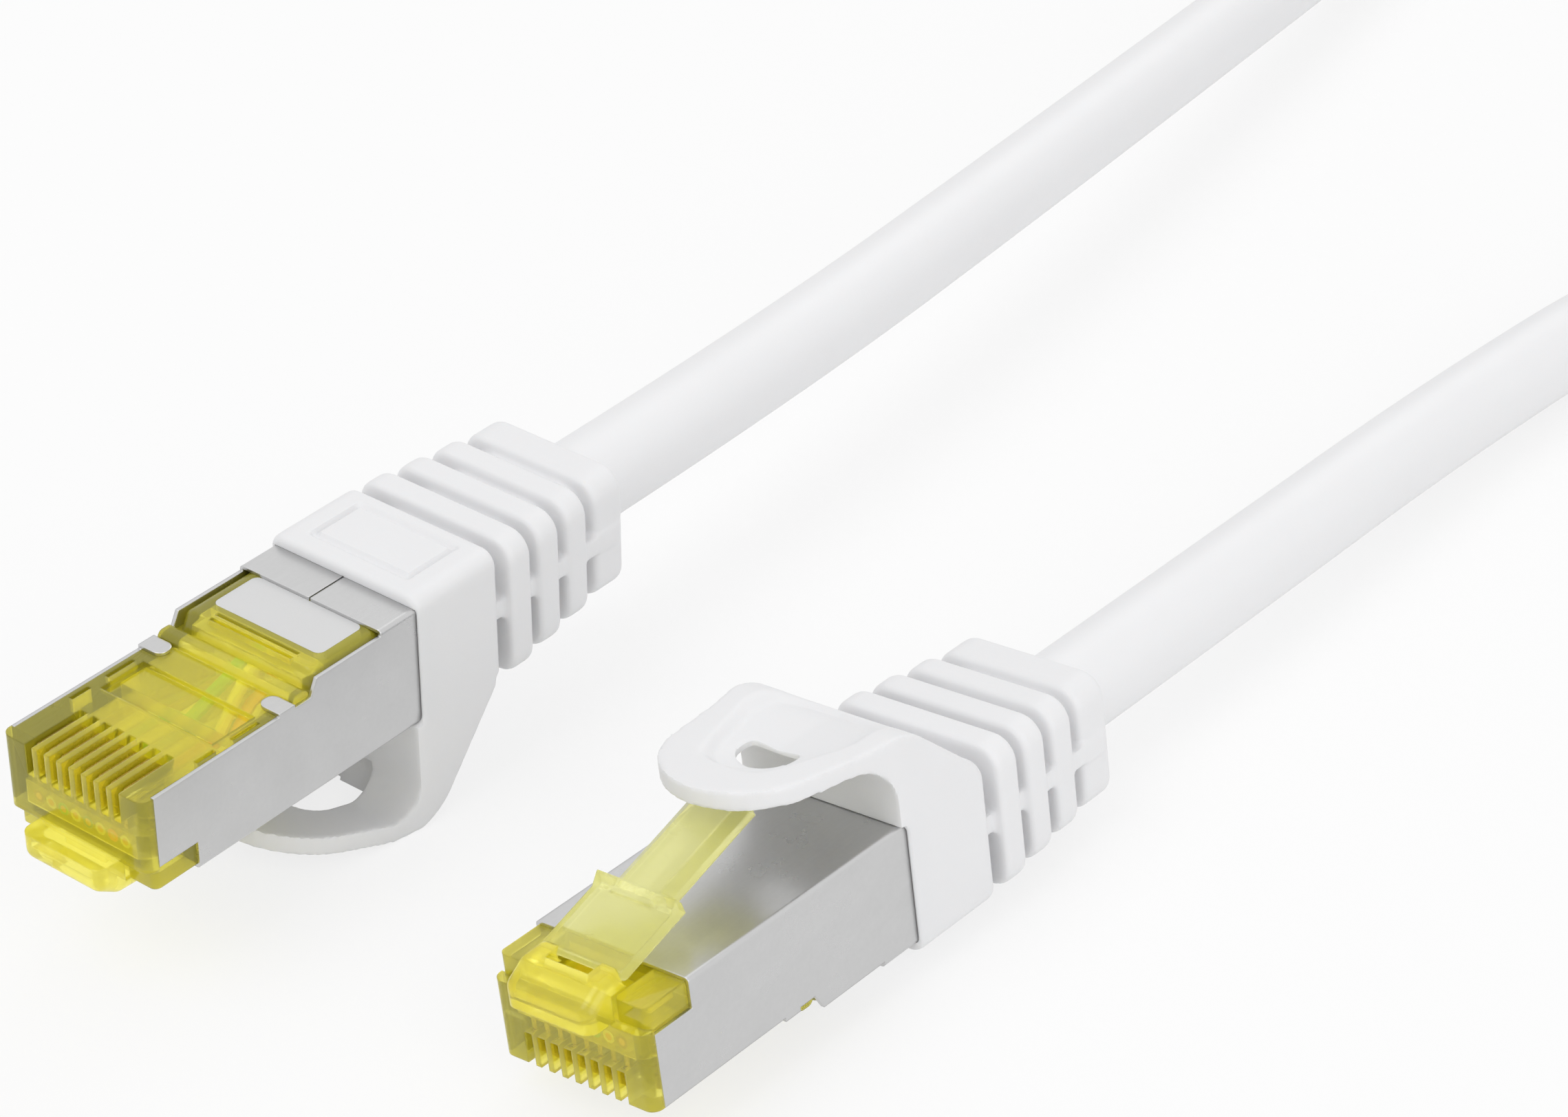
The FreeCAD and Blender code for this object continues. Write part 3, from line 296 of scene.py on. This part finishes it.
nickelLook = {
    "base": rgb(0.63, 0.63, 0.63),
    "shade": 0.86,
    "roughness": (0.23, 0.35),
    "grain": (0.12, 0.00002),
    "fine": (3200, 1, 0.5),
    "smear": (260, 4, 0.6),
    "scratch": (420, 2, 0.5),
    "scratchStretch": (1.0, 14.0, 1.0),
    "edge": 0.00012,
    "edgeSamples": 8,
}


def makeNickel(name, settings):
    # Satin plating with fine grain, a few smears and short rolling scratches.
    look = newLook(name)
    fine = look.noise(*settings["fine"])
    smear = look.noise(*settings["smear"])
    inputs = {"Vector": look.place, "Scale": settings["scratchStretch"]}
    stretch = look.add("ShaderNodeMapping", None, inputs)["Vector"]
    scratch = look.noise(*settings["scratch"], stretch)
    base = settings["base"]
    wear = smear * 0.35 + scratch * 0.35 + fine * 0.3
    rounded = look.rounded(settings["edge"], settings["edgeSamples"])
    surface = look.shader(
        Base_Color=look.tint(wear, base, darker(base, settings["shade"])),
        Metallic=1.0,
        Roughness=look.between(smear, *settings["roughness"]),
        Normal=look.bump(fine * 0.6 + scratch * 0.4, *settings["grain"], rounded),
    )
    return look.output(surface)


softLook = {
    "fine": (14000, 2, 0.6),
    "speckle": (3500, 3, 0.7),
    "cloud": (160, 3),
    "shade": 0.965,
    "smoother": 0.04,
    "rougher": 0.06,
    "specular": 0.4,
    "subsurface": 0.12,
    "reach": (0.0012, 0.001, 0.0009),
    "grainDepth": 0.00003,
}


def makeSoft(name, base, roughness, grain):
    # Soft moulded plastic that lets a little light in.
    look = newLook(name)
    fine = look.noise(*softLook["fine"])
    speckle = look.noise(*softLook["speckle"])
    cloud = look.noise(*softLook["cloud"])
    worn = cloud * 0.6 + speckle * 0.4
    low = roughness - softLook["smoother"]
    high = roughness + softLook["rougher"]
    surface = look.shader(
        Base_Color=look.tint(worn, base, darker(base, softLook["shade"])),
        Roughness=look.between(cloud, low, high),
        Specular_IOR_Level=softLook["specular"],
        Subsurface_Weight=softLook["subsurface"],
        Subsurface_Radius=softLook["reach"],
        Subsurface_Scale=1.0,
        Normal=look.bump(fine * 0.6 + speckle * 0.4, grain, softLook["grainDepth"]),
    )
    return look.output(surface)


sheathLook = {
    "cloud": (1200, 3),
    "fine": (6000, 2),
    "shade": 0.85,
    "roughness": (0.35, 0.45),
    "grain": (0.15, 0.00002),
}


def makeSheath(name, base):
    look = newLook(name)
    cloud = look.noise(*sheathLook["cloud"])
    surface = look.shader(
        Base_Color=look.tint(cloud, base, darker(base, sheathLook["shade"])),
        Roughness=look.between(cloud, *sheathLook["roughness"]),
        Normal=look.bump(look.noise(*sheathLook["fine"]), *sheathLook["grain"]),
    )
    return look.output(surface)


metalLook = {"detail": 3, "shade": 0.9, "rougher": 0.12, "grain": (0.25, 0.00003)}


def makeMetal(name, base, roughness, scale):
    look = newLook(name)
    grain = look.noise(scale, metalLook["detail"])
    surface = look.shader(
        Base_Color=look.tint(grain, base, darker(base, metalLook["shade"])),
        Metallic=1.0,
        Roughness=look.between(grain, roughness, roughness + metalLook["rougher"]),
        Normal=look.bump(grain, *metalLook["grain"]),
    )
    return look.output(surface)


looks = {
    "resin": makeResin("clearYellowResin", resinLook),
    "latch": makeResin("paleYellowResin", latchLook),
    "nickel": makeNickel("satinNickel", nickelLook),
    "soft": makeSoft("softWhiteBoot", rgb(0.83, 0.83, 0.84), 0.5, 0.2),
    "jacket": makeSoft("whiteJacket", rgb(0.85, 0.85, 0.86), 0.42, 0.12),
    "core": makeSoft("paleCore", rgb(0.68, 0.68, 0.68), 0.55, 0.25),
    "gold": makeMetal("goldPlate", rgb(0.56, 0.42, 0.17), 0.22, 3000),
    "copper": makeMetal("drawnCopper", rgb(0.85, 0.48, 0.32), 0.3, 5000),
    "foil": makeMetal("pairFoil", rgb(0.82, 0.83, 0.84), 0.2, 1500),
    "braid": makeMetal("tinnedBraid", rgb(0.70, 0.69, 0.66), 0.35, 4000),
    "orange": makeSheath("orangeSheath", rgb(0.90, 0.24, 0.02)),
    "green": makeSheath("greenSheath", rgb(0.02, 0.46, 0.16)),
    "blue": makeSheath("blueSheath", rgb(0.03, 0.22, 0.62)),
    "brown": makeSheath("brownSheath", rgb(0.28, 0.13, 0.06)),
    "striped": makeSheath("paleSheath", rgb(0.80, 0.80, 0.76)),
}
print("materials made")


# Mesh helpers: pieces are shaped in millimetres in their plug's frame

cornerSteps = 8
rodSides = 48
sharpAngle = 40
planeRise = {"xz": Vector((0, 1, 0)), "xy": Vector((0, 0, 1)), "yz": Vector((1, 0, 0))}


def meshPiece(name, bm):
    mesh = bpy.data.meshes.new(name)
    bm.to_mesh(mesh)
    bm.free()
    return linked(name, mesh)


def applyModifiers(piece):
    graph = bpy.context.evaluated_depsgraph_get()
    mesh = bpy.data.meshes.new_from_object(piece.evaluated_get(graph))
    old = piece.data
    piece.modifiers.clear()
    piece.data = mesh
    bpy.data.meshes.remove(old)
    return piece


def roundCorner(bm, vertex, radius):
    # Rounds one corner of a flat outline with an arc of that radius.
    first, second = [edge.other_vert(vertex).co - vertex.co for edge in vertex.link_edges]
    reach = radius / math.tan(first.angle(second) / 2)
    bmesh.ops.bevel(
        bm,
        geom=[vertex],
        offset=reach,
        offset_type="OFFSET",
        affect="VERTICES",
        segments=cornerSteps,
        profile=0.5,
        material=-1,
    )


def flatOutline(corners, plane, level):
    # Face through corners (u, v) or (u, v, radius) on the plane named by its two axes.
    bm = bmesh.new()
    spots = []
    for corner in corners:
        if plane == "xz":
            place = (corner[0], level, corner[1])
        elif plane == "xy":
            place = (corner[0], corner[1], level)
        else:
            place = (level, corner[0], corner[1])
        spots.append(bm.verts.new(place))
    bm.faces.new(spots)
    for spot, corner in zip(spots, corners):
        if len(corner) == 3:
            roundCorner(bm, spot, corner[2])
    return bm


def block(name, corners, plane, low, high):
    # Solid between two levels with that outline.
    bm = flatOutline(corners, plane, low)
    rise = planeRise[plane] * (high - low)
    pushed = bmesh.ops.extrude_face_region(bm, geom=bm.faces[:])
    moved = [item for item in pushed["geom"] if isinstance(item, bmesh.types.BMVert)]
    bmesh.ops.translate(bm, vec=rise, verts=moved)
    bmesh.ops.recalc_face_normals(bm, faces=bm.faces)
    return meshPiece(name, bm)


def rod(name, start, direction, radius, length):
    bm = bmesh.new()
    bmesh.ops.create_cone(
        bm, cap_ends=True, segments=rodSides, radius1=radius, radius2=radius, depth=length
    )
    turn = Vector((0, 0, 1)).rotation_difference(Vector(direction)).to_matrix().to_4x4()
    middle = Vector(start) + Vector(direction).normalized() * length / 2
    bmesh.ops.transform(bm, matrix=Matrix.Translation(middle) @ turn, verts=bm.verts)
    return meshPiece(name, bm)


def combine(base, tools, operation):
    for tool in tools:
        cut = base.modifiers.new("cut", "BOOLEAN")
        cut.operation = operation
        cut.solver = "EXACT"
        cut.object = tool
        applyModifiers(base)
        bpy.data.objects.remove(tool)


def rectangle(left, bottom, right, top, radius=None):
    corners = [(left, bottom), (right, bottom), (right, top), (left, top)]
    return [corner + (radius,) for corner in corners] if radius else corners


def finished(piece, plug, material):
    # Takes a millimetre mesh to its place in the row frame and gives it its finish.
    piece.data.transform(plugMatrix(plug))
    piece.data.update()
    piece.data.materials.clear()
    piece.data.materials.append(material)
    piece.data.shade_smooth()
    piece.data.set_sharp_from_angle(angle=math.radians(sharpAngle))


def softBevel(piece, width, segments, angle):
    bevel = piece.modifiers.new("edges", "BEVEL")
    bevel.width = width
    bevel.segments = segments
    bevel.limit_method = "ANGLE"
    bevel.angle_limit = math.radians(angle)
    return applyModifiers(piece)


# Cable: one free cord from boot to boot

cableSettings = {
    "diameter": 6.1,
    "length": 412.3,
    "roundSteps": 12,
    "lengthSteps": 12,
    "route": [
        (18.33, 16.49, 11.79),
        (40.33, 16.49, 11.79),
        (74.0, 20.1, 10.5),
        (106.0, 25.1, 7.9),
        (133.0, 29.7, 5.4),
        (155.0, 33.0, 3.6),
        (177.4, 34.5, 3.05),
        (196.4, 25.3, 3.05),
        (207.0, 7.0, 3.05),
        (205.5, -13.9, 3.05),
        (192.5, -30.5, 3.05),
        (172.4, -36.9, 3.05),
        (148.0, -32.2, 3.05),
        (122.0, -24.4, 3.05),
        (98.0, -18.1, 3.4),
        (72.0, -16.8, 4.3),
        (47.38, -17.16, 5.5),
        (25.39, -16.45, 5.5),
    ],
}


def makeCable(settings):
    data = bpy.data.curves.new("cable", "CURVE")
    data.dimensions = "3D"
    data.resolution_u = settings["lengthSteps"]
    data.render_resolution_u = settings["lengthSteps"]
    data.bevel_depth = settings["diameter"] / 2 * milli
    data.bevel_resolution = settings["roundSteps"]
    data.use_fill_caps = True
    spline = data.splines.new("NURBS")
    spline.points.add(len(settings["route"]) - 1)
    for point, place in zip(spline.points, settings["route"]):
        point.co = [value * milli for value in place] + [1]
    spline.order_u = 3
    spline.use_endpoint_u = True
    spline.use_smooth = True
    cable = linked("cable", data)
    data.materials.append(looks["jacket"])
    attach(cable, rootBody)
    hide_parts("cable_lead_a", "cable_loop", "cable_lead_b")


makeCable(cableSettings)
print("cable laid")


# Boot with its arch and latch guard, one soft moulding

bootSettings = {
    "voxel": 0.16,
    "smoothing": 3,
    "smoothFactor": 0.5,
    "edge": 0.42,
    "edgeSteps": 3,
    "halfWidth": 6.2,
    "drop": 0.9,
    "top": 8.8,
    "round": 1.1,
    "roundedFrom": 50,  # degrees between faces
    "bodyEnd": 29.8,
    "endHalfWidth": 5.4,
    "endHalfHeight": 4.25,
    "ribs": 4,
    "ribPitch": 2.93,
    "ribGap": 1.0,
    "ribRise": 0.4,
    "ribRound": 1.6,
    "ribCore": (4.2, 3.5),
    "coreRound": 1.5,
    "coreInBody": 1.0,
    "coreShort": 0.5,
    "web": (5.7, 0.65),
    "thickness": 1.3,
    "paddleLength": 8.6,
    "paddleHalfWidth": 4.45,
    "paddleRound": 5.2,
    "paddleRoot": 22.4,
    "paddleRootRound": 5.0,
    "planRear": 31,
    "planLevels": (-10, 1),
    "archFoot": (22.2, 29.3),
    "archTop": 0.2,
    "archCrest": 23.6,
    "crestRound": 3.9,
    "hingeRound": 6.0,
    "archRoundedFrom": 35,
    "holeRounds": (0.4, 1.8),
    "holeCut": 3,
    "frameLine": (24.15, 28.65, 4.15, 0.42),
    "frameDepth": 0.34,
    "cutPast": 1,
    "bend": 1.1,  # either side of the hinge
    "dish": {
        "front": 14.6,
        "rear": 25.0,
        "narrow": 2.4,
        "wide": 4.6,
        "widening": 1.6,
        "steepEnds": 1.4,
        "rim": 0.22,
        "depth": 1.0,
        "height": 4,
        "outerFace": -0.5,
        "pastHinge": 0.5,
    },
    "rooms": {
        "shieldFront": 18,
        "boreFront": 23.5,
        "boreRadius": 3.05,
        "boreLength": 20,
        "openFront": 16,
        "openTop": 12,
        "openHalfWidth": 9,
    },
}


def guardFrame(plug, settings):
    # Guard hinge's middle, the way to the tip and the way to the shield, in the plug's frame.
    slope = math.radians(plug["guardSlope"])
    middle = Vector((plugSizes["guardHinge"], 0, settings["thickness"] / 2 - plug["crest"]))
    along = Vector((-math.cos(slope), 0, math.sin(slope)))
    inward = Vector((math.sin(slope), 0, math.cos(slope)))
    return middle, along, inward


def makeArch(plug, settings):
    # Arch and guard plate: a side profile cut to the plan outline with its round tip.
    wide = settings["halfWidth"]
    middle, along, inward = guardFrame(plug, settings)
    half = settings["thickness"] / 2
    tip = middle + along * settings["paddleLength"]
    inner = tip + inward * half
    outer = tip - inward * half
    crest = -plug["crest"]
    footFront, footRear = settings["archFoot"]
    top = settings["archTop"]
    corners = [(footFront, crest + 2 * half), (middle.x, crest + 2 * half)]
    inside = [corner + (radius,) for corner, radius in zip(corners, plug["innerRounds"])]
    outside = [
        (inner.x, inner.z),
        (outer.x, outer.z),
        (middle.x, crest, settings["hingeRound"]),
        (settings["archCrest"], crest, settings["crestRound"]),
        (footRear, -settings["drop"]),
        (footRear, top),
    ]
    arch = block("arch", [(footFront, top)] + inside + outside, "xz", -wide, wide)
    root = settings["paddleRoot"]
    rootRound = settings["paddleRootRound"]
    rear = settings["planRear"]
    flat = settings["paddleHalfWidth"]
    tipRound = settings["paddleRound"]
    plan = [
        (outer.x, -flat, tipRound),
        (root, -wide, rootRound),
        (rear, -wide),
        (rear, wide),
        (root, wide, rootRound),
        (outer.x, flat, tipRound),
    ]
    combine(arch, [block("plan", plan, "xy", *settings["planLevels"])], "INTERSECT")
    return softBevel(arch, settings["edge"], settings["edgeSteps"], settings["archRoundedFrom"])


def makeRibs(settings):
    # Ribs that narrow towards the cable, with the core and the web that carry them.
    wide = settings["halfWidth"]
    low = -settings["drop"]
    high = settings["top"]
    middle = (high + low) / 2
    narrow = settings["endHalfWidth"]
    short = settings["endHalfHeight"]
    rise = settings["ribRise"]
    bodyEnd = settings["bodyEnd"]
    end = plugSizes["bootEnd"]
    last = settings["ribs"] - 1
    pieces = []
    for index in range(settings["ribs"]):
        front = bodyEnd + settings["ribGap"] + settings["ribPitch"] * index
        rear = min(front + settings["ribPitch"] - settings["ribGap"], end) if index < last else end
        share = (front + rear - 2 * bodyEnd) / 2 / (end - bodyEnd)
        ribWide = wide + rise + (narrow - wide - rise) * share
        ribLow = low - rise + (middle - short - low + rise) * share
        ribHigh = high + (middle + short - high) * share
        outline = rectangle(-ribWide, ribLow, ribWide, ribHigh, settings["ribRound"])
        rib = block("rib", outline, "yz", front, rear)
        softBevel(rib, settings["edge"], settings["edgeSteps"], settings["roundedFrom"])
        pieces.append(rib)
    start = bodyEnd - settings["coreInBody"]
    stop = end - settings["coreShort"]
    coreWide, coreTall = settings["ribCore"]
    coreRound = settings["coreRound"]
    outline = rectangle(-coreWide, middle - coreTall, coreWide, middle + coreTall, coreRound)
    pieces.append(block("ribCore", outline, "yz", start, stop))
    webWide, webTall = settings["web"]
    outline = rectangle(-webWide, middle - webTall, webWide, middle + webTall)
    pieces.append(block("ribWeb", outline, "yz", start, stop))
    return pieces


def cutRooms(boot, settings):
    # Room for the shield and the cable; the boot is open above the guard's plate.
    side = plugSizes["width"] / 2
    sheet = plugSizes["sheet"]
    outline = rectangle(-side, -sheet, side, plugSizes["deckHeight"] + sheet)
    pocket = block("shieldRoom", outline, "yz", settings["shieldFront"], plugSizes["shieldRear"])
    start = (settings["boreFront"], 0, plugSizes["cableHeight"])
    bore = rod("cableRoom", start, (1, 0, 0), settings["boreRadius"], settings["boreLength"])
    front = settings["openFront"]
    outline = rectangle(front, -sheet, plugSizes["bootFront"], settings["openTop"])
    wide = settings["openHalfWidth"]
    combine(boot, [pocket, bore, block("above", outline, "xz", -wide, wide)], "DIFFERENCE")


def cutGuardHole(boot, plug, settings):
    rear, tip, wide = plug["hole"]
    rearRound, tipRound = settings["holeRounds"]
    outline = [
        (-rear, -wide, rearRound),
        (-rear, wide, rearRound),
        (-tip, wide, tipRound),
        (-tip, -wide, tipRound),
    ]
    hole = block("hole", outline, "xy", -settings["holeCut"], settings["holeCut"])
    pivot = guardFrame(plug, settings)[0]
    turn = Matrix.Rotation(math.radians(plug["guardSlope"]), 4, "Y")
    hole.data.transform(Matrix.Translation(pivot) @ turn)
    combine(boot, [hole], "DIFFERENCE")


def cutFrameLine(boot, settings):
    # Shallow groove round the flat panel on the boot's top.
    left, right, across, line = settings["frameLine"]
    high = settings["top"]
    outline = rectangle(left, -across, right, across)
    past = settings["cutPast"]
    groove = block("frame", outline, "xy", high - settings["frameDepth"], high + past)
    outline = rectangle(left + line, line - across, right - line, across - line)
    island = block("island", outline, "xy", high - past, high + 2 * past)
    combine(groove, [island], "DIFFERENCE")
    combine(boot, [groove], "DIFFERENCE")


def softSkin(piece, settings):
    remesh = piece.modifiers.new("skin", "REMESH")
    remesh.mode = "VOXEL"
    remesh.voxel_size = settings["voxel"]
    smooth = piece.modifiers.new("soften", "SMOOTH")
    smooth.factor = settings["smoothFactor"]
    smooth.iterations = settings["smoothing"]
    applyModifiers(piece)


def dishDepth(x, y, dish):
    # Depth of the V-shaped dish that runs from the hole to the crest.
    share = (x - dish["front"]) / (dish["rear"] - dish["front"])
    if share <= 0 or share >= 1:
        return 0.0
    edge = dish["narrow"] + (dish["wide"] - dish["narrow"]) * min(1, share * dish["widening"])
    fade = min(math.sin(math.pi * share) * dish["steepEnds"], 1.0) * (1 - abs(y) / edge)
    if fade <= 0:
        return 0.0
    rim = min(1.0, fade / dish["rim"])
    return dish["depth"] * (0.5 * rim * rim * (3 - 2 * rim) + 0.5 * fade)


def pressDish(piece, plug, settings):
    # The outer face is pressed in whole, and the plate's thickness carries the rest in part.
    middle, _, inward = guardFrame(plug, settings)
    dish = settings["dish"]
    crest = -plug["crest"]
    thick = settings["thickness"]
    facing = [vertex.normal.dot(inward) for vertex in piece.data.vertices]
    for vertex, toShield in zip(piece.data.vertices, facing):
        x, y, z = vertex.co
        if z > crest + dish["height"]:
            continue
        share = 0.0
        if toShield < dish["outerFace"]:
            share = 1.0
        elif x < middle.x + dish["pastHinge"]:
            share = min(1.0, max(0.0, 0.5 - (vertex.co - middle).dot(inward) / thick))
        vertex.co += inward * dishDepth(x, y, dish) * share


def makeBoot(suffix, plug, settings):
    wide = settings["halfWidth"]
    outline = rectangle(-wide, -settings["drop"], wide, settings["top"], settings["round"])
    name = "bootMoulding_" + suffix
    boot = block(name, outline, "yz", plugSizes["bootFront"], settings["bodyEnd"])
    softBevel(boot, settings["edge"], settings["edgeSteps"], settings["roundedFrom"])
    combine(boot, makeRibs(settings) + [makeArch(plug, settings)], "UNION")
    cutRooms(boot, settings["rooms"])
    cutGuardHole(boot, plug, settings)
    cutFrameLine(boot, settings)
    softSkin(boot, settings)
    pressDish(boot, plug, settings)
    print(name, len(boot.data.polygons), "faces")
    finished(boot, plug, looks["soft"])
    pivot, along, _ = guardFrame(plug, settings)
    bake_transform(boot)
    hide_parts("boot_" + suffix, "latch_guard_" + suffix)


for suffix, plug in plugs.items():
    makeBoot(suffix, plug, bootSettings)
print("boots moulded")


# CAD pieces that keep their shape get their finish

finishes = {
    "plug_housing": "resin",
    "latch_lever": "latch",
    "load_bar": "resin",
    "contact_blades": "gold",
    "conductor_cores": "copper",
    "foil_pairs": "foil",
    "shield_shell": "nickel",
    "braid_end": "braid",
    "inner_mould": "core",
    "jacket_end": "jacket",
    "wire_orange": "orange",
    "wire_green": "green",
    "wire_blue": "blue",
    "wire_brown": "brown",
    "wires_striped": "striped",
}

for suffix in plugs:
    for name, finish in finishes.items():
        node = nodes["%s_%s" % (name, suffix)]
        if not node.material_slots:
            node.data.materials.append(looks[finish])
        for place in node.material_slots:
            place.material = looks[finish]
print("finishes set")


# Studio: pale floor, soft lamps and an even white surround

studio = {
    "floorSize": 3.0,
    "floorColour": rgb(0.9, 0.9, 0.9),
    "floorRoughness": 0.9,
    "floorSpecular": 0.1,
    "floorGlow": 0.75,
    "white": rgb(1, 1, 1),
    "worldLight": 0.66,
    "lamps": [
        ("keyLamp", (-0.35, 0.15, 0.75), 0.6, 1.8),
        ("fillLamp", (-0.15, -0.75, 0.45), 0.7, 1.9),
        ("rimLamp", (0.75, 0.25, 0.5), 0.5, 0.8),
    ],
    "target": (0.02, 0.0, 0.01),
}


def makeFloor(settings):
    bm = bmesh.new()
    bmesh.ops.create_grid(bm, x_segments=1, y_segments=1, size=settings["floorSize"])
    floor = meshPiece("floor", bm)
    look = Look(bpy.data.materials.new("paleFloor"))
    paint = look.shader(
        Base_Color=settings["floorColour"],
        Roughness=settings["floorRoughness"],
        Specular_IOR_Level=settings["floorSpecular"],
    )
    inputs = {"Color": settings["white"], "Strength": 1.0}
    glow = look.add("ShaderNodeEmission", None, inputs)["Emission"]
    mixed = look.mix(look.seenByEye(settings["floorGlow"]), paint, glow)
    floor.data.materials.append(look.output(mixed))


def makeWorld(settings):
    # Pure white for the camera, metal and glass; a lower even light for all the rest.
    look = Look(bpy.data.worlds.new("surround"))
    bpy.context.scene.world = look.owner
    inputs = {"Color": settings["white"], "Strength": settings["worldLight"]}
    soft = look.add("ShaderNodeBackground", None, inputs)["Background"]
    inputs = {"Color": settings["white"], "Strength": 1.0}
    plain = look.add("ShaderNodeBackground", None, inputs)["Background"]
    look.output(look.mix(look.seenByEye(1.0), soft, plain), "ShaderNodeOutputWorld")


def makeLamps(settings):
    target = Vector(settings["target"])
    for name, place, size, power in settings["lamps"]:
        data = bpy.data.lights.new(name, "AREA")
        data.shape = "DISK"
        data.size = size
        data.energy = power
        lamp = linked(name, data)
        lamp.location = place
        lamp.rotation_euler = (target - Vector(place)).to_track_quat("-Z", "Y").to_euler()


bpy.context.scene.view_settings.view_transform = "Standard"
makeFloor(studio)
makeWorld(studio)
makeLamps(studio)
print("studio lit")
